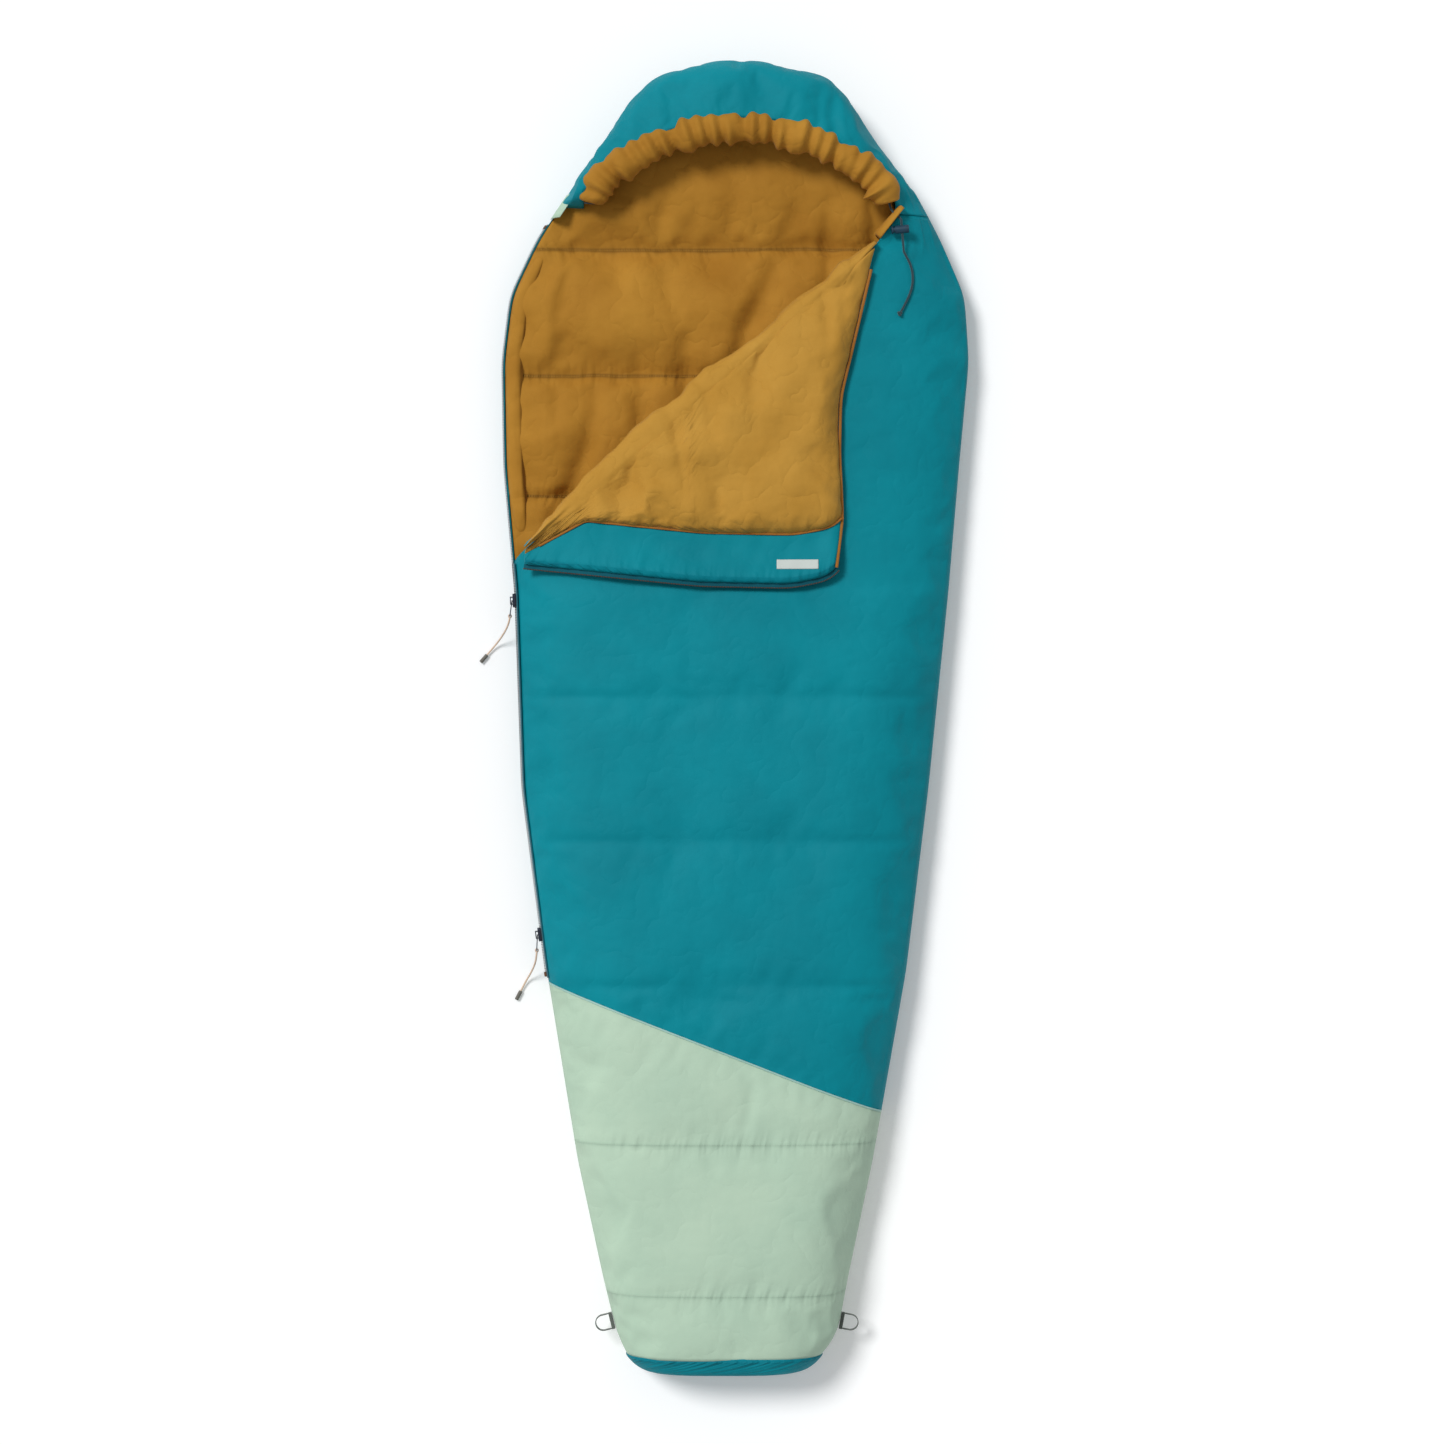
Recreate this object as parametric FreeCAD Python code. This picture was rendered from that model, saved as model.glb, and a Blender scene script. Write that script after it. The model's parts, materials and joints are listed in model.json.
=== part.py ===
import FreeCAD, Part
import math
import os

# Mummy sleeping bag, lying on its back. Millimetres.
# +X is the side away from the zip, +Y points to the head, +Z up. The origin is on the
# ground, under the middle of the length.

# ---- driving dimensions ----
LENGTH = 2100.0  # foot end to the top of the hood
SHOULDER_WIDTH = 748.0
PATTERN_LENGTH = 2100.0  # size the pattern points below were drafted for
PATTERN_WIDTH = 748.0

SEAM_HEIGHT = 45.0  # side seam, where the bottom half meets the top half
TOP_LOFT = 36.0  # thickness of the padded top half
SIDE_LOFT = 48.0  # padding beside the sleeper
FOOT_WALL = 32.0
HEAD_WALL = 50.0
TUCK = 70.0  # how far the underside curves in below the side seam
FABRIC = 1.5  # shell and lining cloth with its seam allowance
LAYER_GAP = 0.5
SEAM_GAP = 0.4
FOOT_END_DEPTH = 28.0
FLOOR_TRIM = 0.6  # drawn this far below the floor, then trimmed to a flat underside

FOLD_LOFT = 20.0  # padding squeezed thin where the flap folds
FOLD_FREE = 6.0  # from the fold line to the edge of each padded panel
FOLD_RAMP = 70.0  # padding is back to full thickness this far from the fold
FLAP_LOFT = 34.0
FACING_WIDTH = 62.0
FACING_LOFT = 13.0
FLAP_LIFT = 0.6  # the fold line's height above the top shell
BINDING_WIDTH = 9.0

RIM_RADIUS = 22.0  # padded tube around the face opening
RIM_SLOPE = 12.0  # degrees; the rim is higher at the crown than at its ends
CHANNEL_RADIUS = 3.0
CORD_RADIUS = 1.75
TAIL_GAP = 0.3
TAIL_LIFT = 1.5
TAIL_LEAD = 11.0
BEND_REACH = 9.0  # longest share of a straight run that a cord's bend takes up

TAPE_HEIGHT = 13.0
TAPE_OUT = (0.4, 1.2)  # tape, from the side seam outwards
COIL_OUT = (1.6, 4.0)
COIL_HEIGHT = 2.4
STOP_OUT = (1.6, 5.2)
STOP_HALF = 5.0
RUNNING_GAP = 0.4
SLIDER_LENGTH = 22.0
SLIDER_HEIGHT = 16.0
SLIDER_WALL = 2.0
BRIDGE_HEIGHT = 4.6
BRIDGE_WALL = 1.6
BRIDGE_WIDTH = 2.4
BRIDGE_REACH = 6.5
SLIDER_ROUND = 4.0
TAB_LENGTH = 26.0
TAB_WIDTH = 9.0
TAB_THICKNESS = 1.4
TAB_WINDOW = 8.2
TAB_RIM = 1.9
TAB_END = 1.6
TAB_EYE = 4.4
TAB_REST = 10.0  # degrees the pull tab stands off the zip
PULL_CORD_RADIUS = 1.5
GRIP_RADIUS = 3.0
GRIP_LENGTH = 16.0

LOOP_WIDTH = 9.0  # webbing width
LOOP_THICKNESS = 1.4
LOOP_LENGTH = 30.0
LOOP_SPREAD = 26.0
LOOP_CLEAR = 0.4
LOOP_TAB = 6.0  # stub sewn into the seam

LOCK_RADIUS = 6.5
LOCK_LENGTH = 22.0
LOCK_LIFT = 4.4  # clear of the shell below
LOCK_CAP = 2.2
LOCK_WEB = 1.4  # plunger wall below its cord hole
LOCK_WALL = 1.6
LOCK_TRAVEL = 20.0
LOCK_BORE_CLEAR = 0.5
PLUNGER_STROKE = 3.0
PLUNGER_CLEAR = 0.25
SPRING_WIRE = 0.4
SPRING_TURNS = 3.0
SPRING_STEPS = 12  # points in each turn
KNOT_RADIUS = 3.4

# Outline and crown: distance from the foot, left edge, right edge, crown height.
STATIONS = [
    (28, -176, 138, 128),
    (60, -192, 163, 131),
    (150, -214, 180, 134),
    (340, -255, 220, 130),
    (640, -304, 273, 120),
    (935, -342, 309, 112),
    (1250, -353, 341, 105),
    (1450, -371, 358, 105),
    (1620, -374, 374, 105),
    (1725, -361, 367, 105),
    (1815, -318, 328, 105),
    (1880, -275, 294, 129),
    (1970, -214, 225, 146),
    (2035, -170, 184, 142),
    (2075, -128, 146, 122),
    (2100, -34, 36, 94),
]
FOOT_END = [(12, 0.93, 0.93), (4, 0.80, 0.80), (0, 0.62, 0.60)]  # y, width and height shares

# Pattern points on the plan: x from the middle line, y from the foot.
FOLD_RIGHT = (223, 1802)
FOLD_LEFT = (-336, 1319)
FLAP_EDGE = [
    (192, 1669),
    (165, 1557),
    (163, 1470),
    (168, 1364),
    (150, 1276),
    (86, 1260),
    (-58, 1263),
    (-187, 1276),
    (-338, 1292),
]
FACING_FROM = 4  # index in FLAP_EDGE where the zip edge starts
RIM_CENTRE_X = 5
RIM_TOP = 2009


def behind_rim(distance):
    """Pattern distance from the foot of a point this many mm below the rim's crown."""
    return RIM_TOP - distance * PATTERN_LENGTH / LENGTH


# The face opening and the lock keep their size, so these are set out from the rim.
NECK_RIGHT = (267, behind_rim(151))
HOOD_LEFT = (-256, behind_rim(147))
HOOD_SEAM = behind_rim(159)
LOCK_FROM = (262, behind_rim(168))
LOCK_TOWARDS = (266, behind_rim(214))
TAIL_POINTS = [
    (279, behind_rim(241)),
    (282, behind_rim(268)),
    (274, behind_rim(294)),
    (262, behind_rim(315)),
]
RIM_CROWN_RADIUS = 358.0  # the rim is a three-centred arch
RIM_SIDE_RADIUS = 88.0
RIM_CROWN_HALF_ANGLE = 40.0
RIM_END_ANGLE = 84.0
RIM_CROWN_HEIGHT = 128.0
FOOT_SEAM = ((-291, 619), (230, 418))
ZIP_FOOT = 640
ZIP_MIDDLE = 935
ZIP_KNEE = 1250
ZIP_OPEN = 1295
ZIP_HEAD = behind_rim(169)
ZIP_RUN_OFF = 10  # tape beyond the foot end of the coil
GARAGE = (-264, behind_rim(161), behind_rim(123))
TOP_SLIDER_AT = 1236
BOTTOM_SLIDER_AT = 700
LABEL_AT = (97, 1291)
LABEL_SIZE = (66.0, 15.0, 0.7)
LOOP_AT = 80
DRAUGHT_FROM = 1345
DRAUGHT_TO = 1790
DRAUGHT_WIDTH = 28.0
DRAUGHT_HEIGHT = 11.0

FAR = 3000.0
HALF = SHOULDER_WIDTH / 2


def graded(x, y, z=0.0):
    """A pattern point at this bag's size."""
    return FreeCAD.Vector(
        x * SHOULDER_WIDTH / PATTERN_WIDTH, y * LENGTH / PATTERN_LENGTH - LENGTH / 2, z
    )


def along(y):
    return graded(0, y).y


def station_at(y):
    """Left, right and crown at pattern distance y, straight between stations."""
    for low, high in zip(STATIONS, STATIONS[1:]):
        if y <= high[0]:
            share = (y - low[0]) / (high[0] - low[0])
            return (y,) + tuple(a + share * (b - a) for a, b in zip(low[1:], high[1:]))
    return STATIONS[-1]


def side_x(y, side):
    """X of the side seam at pattern distance y; side is -1 on the left, +1 on the right."""
    return graded(station_at(y)[1 if side < 0 else 2], 0).x


def top_height(x, y):
    """Height of the top shell over the real point x at pattern distance y."""
    left, right = side_x(y, -1), side_x(y, 1)
    share = min(1.0, abs(x - (left + right) / 2) / ((right - left) / 2))
    return SEAM_HEIGHT + (station_at(y)[3] - SEAM_HEIGHT) * math.sqrt(1 - share**4)


def spline(points):
    curve = Part.BSplineCurve()
    curve.interpolate(points)
    return curve.toShape()


def crown_points(middle, half, base, rise, y):
    """Flat-topped half section from the right edge over to the left edge."""
    turns = [0, 10, 22, 36, 52, 68, 80]
    shares = [(math.sqrt(math.cos(math.radians(t))), math.sin(math.radians(t))) for t in turns]
    right = [FreeCAD.Vector(middle + half * u, y, base + rise * v) for u, v in shares]
    left = [FreeCAD.Vector(middle - half * u, y, base + rise * v) for u, v in reversed(shares)]
    return right + [FreeCAD.Vector(middle, y, base + rise)] + left


def section(station, inset, floor, y):
    """Closed section: flat floor, tucked corners up to the seam, flat-topped crown."""
    left, right = graded(station[1], 0).x, graded(station[2], 0).x
    middle, half = (left + right) / 2, (right - left) / 2 - inset
    tuck = min(TUCK, 0.6 * (half + inset)) - inset
    depth = SEAM_HEIGHT - floor
    turns = [math.radians(t) for t in (90, 70, 50, 30, 14, 0)]
    corner = [(half - tuck + tuck * math.cos(t), SEAM_HEIGHT - depth * math.sin(t)) for t in turns]
    right_side = [FreeCAD.Vector(middle + x, y, z) for x, z in corner]
    left_side = [FreeCAD.Vector(middle - x, y, z) for x, z in reversed(corner)]
    crown = crown_points(middle, half, SEAM_HEIGHT, station[3] - SEAM_HEIGHT - inset, y)
    edges = [
        Part.LineSegment(left_side[-1], right_side[0]).toShape(),
        spline(right_side),
        spline(crown),
        spline(left_side),
    ]
    return Part.Wire(edges)


BODIES = {}


def body(inset):
    """The whole bag drawn in by inset; a negative inset is outside the shell."""
    if inset not in BODIES:
        low = inset - FLOOR_TRIM
        wires = [section(STATIONS[0], inset, low, along(0))]
        for station in STATIONS:
            end = inset if station is STATIONS[-1] else 0
            wires.append(section(station, inset, low, along(station[0]) - end))
        above_floor = block(-FAR, FAR, -FAR, FAR, inset, FAR)
        BODIES[inset] = Part.makeLoft(wires, True, True).common(above_floor)
    return BODIES[inset]


def cavity(grow):
    """The sleeper's space, grown by grow; its floor lies below the side seam."""
    first = station_at(FOOT_END_DEPTH + FOOT_WALL)
    last = station_at(PATTERN_LENGTH - HEAD_WALL)
    inner = [first] + [s for s in STATIONS if first[0] < s[0] < last[0]] + [last]
    wires = []
    for station in inner:
        end = {first: -grow, last: grow}.get(station, 0)
        y = along(station[0]) + end
        left, right = graded(station[1], 0).x, graded(station[2], 0).x
        middle, half = (left + right) / 2, (right - left) / 2 - SIDE_LOFT + grow
        rise = station[3] - TOP_LOFT - SEAM_HEIGHT + grow
        crown = crown_points(middle, half, SEAM_HEIGHT, rise, y)
        floor = SEAM_HEIGHT / 2
        foot_right = FreeCAD.Vector(middle + half, y, floor)
        foot_left = FreeCAD.Vector(middle - half, y, floor)
        corners = [crown[-1], foot_left, foot_right, crown[0]]
        sides = [Part.LineSegment(a, b).toShape() for a, b in zip(corners, corners[1:])]
        wires.append(Part.Wire([spline(crown)] + sides))
    return Part.makeLoft(wires, True, True)


def prism(points, low, high):
    """Upright prism over plan points."""
    ring = [FreeCAD.Vector(p.x, p.y, low) for p in points]
    face = Part.Face(Part.makePolygon(ring + ring[:1]))
    return face.extrude(FreeCAD.Vector(0, 0, high - low))


def block(x0, x1, y0, y1, z0, z1):
    return Part.makeBox(x1 - x0, y1 - y0, z1 - z0, FreeCAD.Vector(x0, y0, z0))


def upper():
    return block(-FAR, FAR, -FAR, FAR, SEAM_HEIGHT + SEAM_GAP / 2, FAR)


def lower(top=SEAM_HEIGHT - SEAM_GAP / 2, bottom=-FAR):
    return block(-FAR, FAR, -FAR, FAR, bottom, top)


def save(name, shape):
    solids = shape.Solids
    assert solids and all(s.isValid() and s.Volume > 0 for s in solids), name
    result = solids[0] if len(solids) == 1 else Part.makeCompound(solids)
    result.exportStep("parts/" + name + ".step")
    print(name, len(solids), round(sum(s.Volume for s in solids)))


# ---- regions of the plan ----
def foot_seam_side(gap):
    """Prism over all that lies footward of the slanting seam."""
    a, b = graded(*FOOT_SEAM[0]), graded(*FOOT_SEAM[1])
    run = (b - a).normalize()
    back = FreeCAD.Vector(run.y, -run.x, 0)
    if back.y > 0:
        back = -back
    a, b = a - run * FAR + back * gap, b + run * FAR + back * gap
    return prism([a, b, b + back * FAR, a + back * FAR], -FAR, FAR)


def foot_end_side(gap=0.0):
    return block(-FAR, FAR, -FAR, along(FOOT_END_DEPTH) + gap, -FAR, FAR)


FOLD_HEIGHT = STATIONS[7][3] + FLAP_LIFT
FOLD_START = graded(*FOLD_RIGHT)
FOLD_RUN = (graded(*FOLD_LEFT) - graded(*FOLD_RIGHT)).normalize()
FOLD_OUT = FreeCAD.Vector(-FOLD_RUN.y, FOLD_RUN.x, 0)  # towards the covered side
if FOLD_OUT.y > 0:
    FOLD_OUT = -FOLD_OUT
FOLD_REACH = (graded(*FOLD_LEFT) - graded(*FOLD_RIGHT)).Length


def fold_point(s, t, z=0.0):
    """s across the fold line towards the foot, t along it from the neck, z above it."""
    p = FOLD_START + FOLD_OUT * s + FOLD_RUN * t
    return FreeCAD.Vector(p.x, p.y, FOLD_HEIGHT + z)


def fold_bar(profile, start, stop):
    """Extrude a profile of (s, z) points along the fold line."""
    ring = [fold_point(s, start, z) for s, z in profile]
    face = Part.Face(Part.makePolygon(ring + ring[:1]))
    return face.extrude(FOLD_RUN * (stop - start))


def rim_arch(offset, end_angle):
    """Edges of the rim's three-centred arch, drawn in by offset, in the rim's sloping plane."""
    slope = math.radians(RIM_SLOPE)
    top, side = RIM_CROWN_RADIUS - offset, RIM_SIDE_RADIUS - offset
    centre_x, top_y = graded(RIM_CENTRE_X, RIM_TOP).x, graded(0, RIM_TOP).y
    turn = math.radians(RIM_CROWN_HALF_ANGLE)

    def place(x, v):
        """v runs down the slope from the crown of the undrawn arch."""
        z = RIM_CROWN_HEIGHT + v * math.sin(slope)
        return FreeCAD.Vector(centre_x + x, top_y + v * math.cos(slope), z)

    def on_top(a):
        return place(top * math.sin(a), -RIM_CROWN_RADIUS + top * math.cos(a))

    def on_side(a, sign):
        hub = RIM_CROWN_RADIUS - RIM_SIDE_RADIUS
        x = hub * math.sin(turn) + side * math.sin(a)
        v = -RIM_CROWN_RADIUS + hub * math.cos(turn) + side * math.cos(a)
        return place(sign * x, v)

    end = math.radians(end_angle)
    middle = (turn + end) / 2
    right = Part.Arc(on_side(end, 1), on_side(middle, 1), on_top(turn)).toShape()
    crown = Part.Arc(on_top(turn), on_top(0), on_top(-turn)).toShape()
    left = Part.Arc(on_top(-turn), on_side(middle, -1), on_side(end, -1)).toShape()
    return [right, crown, left], slope


def mouth(gap=0.0):
    """All that is open above the bottom lining: the face opening and the unzipped corner."""
    edges, slope = rim_arch(-gap, 90.0)
    normal = FreeCAD.Vector(0, -math.sin(slope), math.cos(slope))
    first = edges[0].Vertexes[0].Point
    last = edges[2].Vertexes[-1].Point
    down = FreeCAD.Vector(0, -math.cos(slope), -math.sin(slope)) * 80
    bottom_right, bottom_left = first + down, last + down
    walls = Part.makePolygon([last, bottom_left, bottom_right, first]).Edges
    face = Part.Face(Part.Wire(edges + walls))
    drop = normal * -160
    arch = face.translated(drop).extrude(normal * 320)
    root = FOLD_FREE - gap
    corner = [
        graded(*NECK_RIGHT),
        graded(*HOOD_LEFT),
        graded(HOOD_LEFT[0] - PATTERN_WIDTH, HOOD_SEAM),
        fold_point(root, FOLD_REACH + HALF),
        fold_point(root, 0),
    ]
    open_corner = prism(corner, -FAR, FAR)
    headward = block(-FAR, FAR, along(HOOD_SEAM), FAR, -FAR, FAR)
    return [arch.common(headward), open_corner]


def without(shape, cutters):
    for cutter in cutters:
        shape = shape.cut(cutter)
    return shape


# ---- the bottom half ----
def bottom_half():
    whole_shell = body(0).cut(body(FABRIC)).common(lower()).cut(foot_end_side())
    lining_low = SEAM_HEIGHT - SEAM_GAP / 2 - FABRIC
    save("bottom_shell", whole_shell.cut(foot_seam_side(-SEAM_GAP / 2)))
    save("foot_bottom_shell", whole_shell.common(foot_seam_side(SEAM_GAP / 2)))
    inside = body(FABRIC + LAYER_GAP)
    padding = inside.common(lower(lining_low - LAYER_GAP)).cut(foot_end_side(LAYER_GAP))
    save("bottom_insulation", padding)
    lining = inside.common(lower(bottom=lining_low)).cut(foot_end_side(LAYER_GAP))
    save("bottom_lining", lining)


# ---- the top half and the hood ----
def top_half():
    mouth_cut = mouth()
    hood_side = block(-FAR, FAR, along(HOOD_SEAM) + SEAM_GAP / 2, FAR, -FAR, FAR)
    panel_side = block(-FAR, FAR, -FAR, along(HOOD_SEAM) - SEAM_GAP / 2, -FAR, FAR)
    inside = FABRIC + LAYER_GAP
    shell = without(body(0).cut(body(FABRIC)).common(upper()).cut(foot_end_side()), mouth_cut)
    batt = body(inside).cut(cavity(inside)).common(upper()).cut(foot_end_side(LAYER_GAP))
    batt = without(batt, mouth_cut)
    lining = cavity(FABRIC).cut(cavity(0)).common(upper())
    lining = without(lining, mouth_cut)

    panel = shell.common(panel_side)
    save("top_shell", panel.cut(foot_seam_side(-SEAM_GAP / 2)))
    save("foot_top_shell", panel.common(foot_seam_side(SEAM_GAP / 2)))

    thin = -FOLD_LOFT - FLAP_LIFT
    thick = -TOP_LOFT - FLAP_LIFT
    start, stop = -HALF, FOLD_REACH + HALF
    layers = FABRIC + LAYER_GAP
    batt_wedge = [
        (0, thin + layers),
        (FOLD_FREE, thin + layers),
        (FOLD_RAMP + LAYER_GAP, thick + layers),
        (FOLD_RAMP + LAYER_GAP, thick - FAR),
        (0, thick - FAR),
    ]
    ramp_zone = fold_bar([(0, 0), (FOLD_RAMP, 0), (FOLD_RAMP, -FAR), (0, -FAR)], start, stop)
    ramp = [(FOLD_FREE, thin), (FOLD_RAMP, thick), (FOLD_RAMP, thick + FABRIC), (FOLD_FREE, thin + FABRIC)]
    hollow = fold_bar(batt_wedge, start, stop).common(in_cavity_tall(inside))
    panel_batt = batt.common(panel_side).cut(hollow)
    save("top_insulation", panel_batt.cut(foot_seam_side(-SEAM_GAP / 2)))
    save("foot_top_insulation", panel_batt.common(foot_seam_side(SEAM_GAP / 2)))
    ramp_lining = fold_bar(ramp, start, stop).common(in_cavity_tall(FABRIC)).common(panel_side)
    ramp_lining = ramp_lining.common(body(inside + LAYER_GAP))
    panel_lining = lining.common(panel_side).cut(ramp_zone).fuse(without(ramp_lining, mouth_cut))
    save("top_lining", biggest(panel_lining))

    save("hood_shell", shell.common(hood_side))
    save("hood_insulation", biggest(batt.common(hood_side)))
    save("hood_lining", lining.common(hood_side))


def biggest(shape):
    return max(shape.Solids, key=lambda s: s.Volume)


def in_cavity_tall(grow):
    """Upright prism over the plan of the cavity near the fold, up to the fold line."""
    ys = [1250, 1450, 1620, 1725, 1815]
    right = [(side_x(y, 1) - SIDE_LOFT + grow, along(y)) for y in ys]
    left = [(side_x(y, -1) + SIDE_LOFT - grow, along(y)) for y in reversed(ys)]
    ring = [FreeCAD.Vector(x, y, 0) for x, y in right + left]
    return prism(ring, SEAM_HEIGHT + SEAM_GAP / 2, FAR)


# ---- foot end ----
def foot_dome(inset):
    full = STATIONS[0]
    left, right = full[1], full[2]
    middle = (left + right) / 2
    wires = [section(full, inset, inset, along(FOOT_END_DEPTH + 2))]
    wires.append(section(full, inset, inset, along(FOOT_END_DEPTH)))
    mid_z = full[3] / 2
    for y, wide, tall in FOOT_END:
        shape = section(full, inset, inset, 0)
        matrix = FreeCAD.Matrix()
        centre = FreeCAD.Vector(graded(middle, 0).x, 0, mid_z)
        matrix.move(-centre)
        matrix.scale(wide, 1, tall)
        matrix.move(centre)
        moved = shape.transformGeometry(matrix)
        depth = inset if y == 0 else inset * 0.5
        moved.translate(FreeCAD.Vector(0, along(y) + depth, 0))
        wires.append(Part.Wire(moved.Edges))
    return Part.makeLoft(wires, True, True)


def foot_end():
    here = foot_end_side(-SEAM_GAP)
    outer = foot_dome(0)
    save("foot_end_panel", outer.cut(foot_dome(FABRIC)).common(here))
    save("foot_end_insulation", foot_dome(FABRIC + LAYER_GAP).common(here))


def foot_seam_piping():
    band = body(-2.4).cut(body(-0.3)).common(upper())
    strip = foot_seam_side(-2.0).cut(foot_seam_side(2.0))
    piping = band.common(strip)
    save("foot_seam_piping", piping)


# ---- the turned-back flap ----
def flap_points():
    ends = [fold_point(FOLD_FREE, 0), fold_point(FOLD_FREE, FOLD_REACH)]
    return ends[:1] + [graded(*p) for p in FLAP_EDGE] + ends[1:]


def flap_parts(points):
    """Padded area and facing area: the zip edge stepped in by the facing's width."""
    zip_edge = points[1 + FACING_FROM : -1]
    inner = []
    for i, p in enumerate(zip_edge):
        before, after = zip_edge[max(i - 1, 0)], zip_edge[min(i + 1, len(zip_edge) - 1)]
        run = (after - before).normalize()
        inner.append(p + FreeCAD.Vector(-run.y, run.x, 0) * -FACING_WIDTH)
    return zip_edge, inner


def inset_prism(points, inset, low, high):
    solid = prism(points, low, high)
    if not inset:
        return solid
    ring = [FreeCAD.Vector(p.x, p.y, 0) for p in points]
    face = Part.Face(Part.makePolygon(ring + ring[:1]))
    smaller = face.makeOffset2D(-inset)
    smaller.translate(FreeCAD.Vector(0, 0, low))
    return smaller.extrude(FreeCAD.Vector(0, 0, high - low))


def flap():
    low = FOLD_HEIGHT + 0.1
    points = flap_points()
    zip_edge, inner = flap_parts(points)
    aside = FreeCAD.Vector(HALF, 0, 0)
    footward = [FreeCAD.Vector(-FAR, -FAR, 0), FreeCAD.Vector(FAR, -FAR, 0)]
    facing_side = prism([inner[0] + aside] + inner + [inner[-1] - aside] + footward, -FAR, FAR)
    slope = [(0, 0), (FOLD_FREE, FOLD_LOFT), (FOLD_RAMP, FLAP_LOFT), (FAR, FLAP_LOFT), (FAR, 0)]

    def under(drop):
        profile = [(s, z - drop if z else 0) for s, z in slope]
        return fold_bar(profile, -HALF, FOLD_REACH + HALF)

    save("flap_shell", prism(points, low, low + FABRIC))
    batt_low = low + FABRIC + LAYER_GAP
    whole = inset_prism(points, FABRIC + LAYER_GAP, batt_low, FAR)
    padded = whole.cut(facing_side).common(under(FABRIC + LAYER_GAP))
    strip_top = low + FACING_LOFT
    strip = whole.common(facing_side).common(under(FABRIC + LAYER_GAP))
    strip = strip.common(lower(strip_top - FABRIC - LAYER_GAP))
    save("flap_insulation", biggest(padded.fuse(strip)))
    tray = prism(points, batt_low, FAR).cut(inset_prism(points, FABRIC, batt_low - 1, FAR))
    sheet = prism(points, batt_low, FAR).common(under(0)).cut(under(FABRIC))
    tray = tray.common(under(0))
    lining_side = prism(points, -FAR, FAR).cut(facing_side)
    save("flap_lining", biggest(tray.fuse(sheet).common(lining_side)))
    facing_sheet = prism(points, strip_top - FABRIC, strip_top)
    facing_wall = tray.common(lower(strip_top))
    facing = facing_sheet.fuse(facing_wall).common(facing_side).common(under(0))
    facing = biggest(facing).cut(save_gap(lining_side))
    save("flap_zip_facing", biggest(facing))
    flap_trim(points, zip_edge, low, strip_top)


def save_gap(region):
    """The region and a seam gap beside it."""
    moved = region.copy()
    moved.translate(FreeCAD.Vector(0, -SEAM_GAP, 0))
    return moved


def strip_along(path, width, low, high, outward):
    """A band beside a run of plan points, on the outward side, clear by a seam gap."""
    rows = []
    for i, p in enumerate(path):
        before, after = path[max(i - 1, 0)], path[min(i + 1, len(path) - 1)]
        run = (after - before).normalize()
        rows.append(FreeCAD.Vector(-run.y, run.x, 0) * outward)
    inner = [p + n * SEAM_GAP for p, n in zip(path, rows)]
    outer = [p + n * (SEAM_GAP + width) for p, n in zip(path, rows)]
    return prism(inner + outer[::-1], low, high)


def flap_trim(points, zip_edge, low, strip_top):
    neck = points[1 : 2 + FACING_FROM]
    save("flap_neck_binding", strip_along(neck[:-1], BINDING_WIDTH, low, low + FOLD_LOFT, 1))
    save("flap_zip_tape", strip_along(zip_edge, TAPE_HEIGHT, low, low + 0.8, 1))
    coil_low = low + 0.8 + 0.2
    outer = strip_along(zip_edge, TAPE_HEIGHT - 0.6, coil_low, coil_low + COIL_HEIGHT, 1)
    bare_tape = TAPE_HEIGHT - 0.6 - COIL_HEIGHT
    inner = strip_along(zip_edge, bare_tape, coil_low - 1, coil_low + 2 * COIL_HEIGHT, 1)
    save("flap_zip_coil", biggest(outer.cut(inner)))
    centre = graded(*LABEL_AT)
    long, wide, thick = LABEL_SIZE
    label = block(-long / 2, long / 2, -wide / 2, wide / 2, 0, thick)
    label.translate(FreeCAD.Vector(centre.x, centre.y, strip_top + 0.1))
    save("blank_label", label)


def fold_roll():
    """Rolled edge between the flap and the top panel: lining outside, padding inside."""
    def half_disk(radius, free):
        disk = Part.makeCylinder(radius, FOLD_REACH - 12, fold_point(0, 6), FOLD_RUN)
        keep = fold_bar([(-FAR, -FAR), (-FAR, FAR), (0, FAR), (0, -FAR)], 0, FOLD_REACH)
        ears = fold_bar([(0, -radius), (free, -radius), (free, radius), (0, radius)], 6, FOLD_REACH - 6)
        return disk.common(keep).fuse(ears).removeSplitter()

    outer = FOLD_LOFT - 0.3
    slit = fold_bar([(-1, -0.8), (-1, 0.4), (FAR, 0.4), (FAR, -0.8)], 0, FOLD_REACH)
    free = FOLD_FREE - LAYER_GAP
    lining = half_disk(outer, free).cut(half_disk(outer - FABRIC, free + 5))
    padding = half_disk(outer - FABRIC - LAYER_GAP, free).cut(slit)
    save("fold_lining", lining)
    save("fold_insulation", padding)


# ---- hood rim ----
def pipe(edges, radius):
    wire = Part.Wire(edges)
    start = edges[0].Vertexes[0].Point
    tangent = edges[0].tangentAt(edges[0].FirstParameter)
    ring = Part.Wire(Part.Circle(start, tangent, radius).toShape())
    return wire.makePipeShell([ring], True, True)


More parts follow.
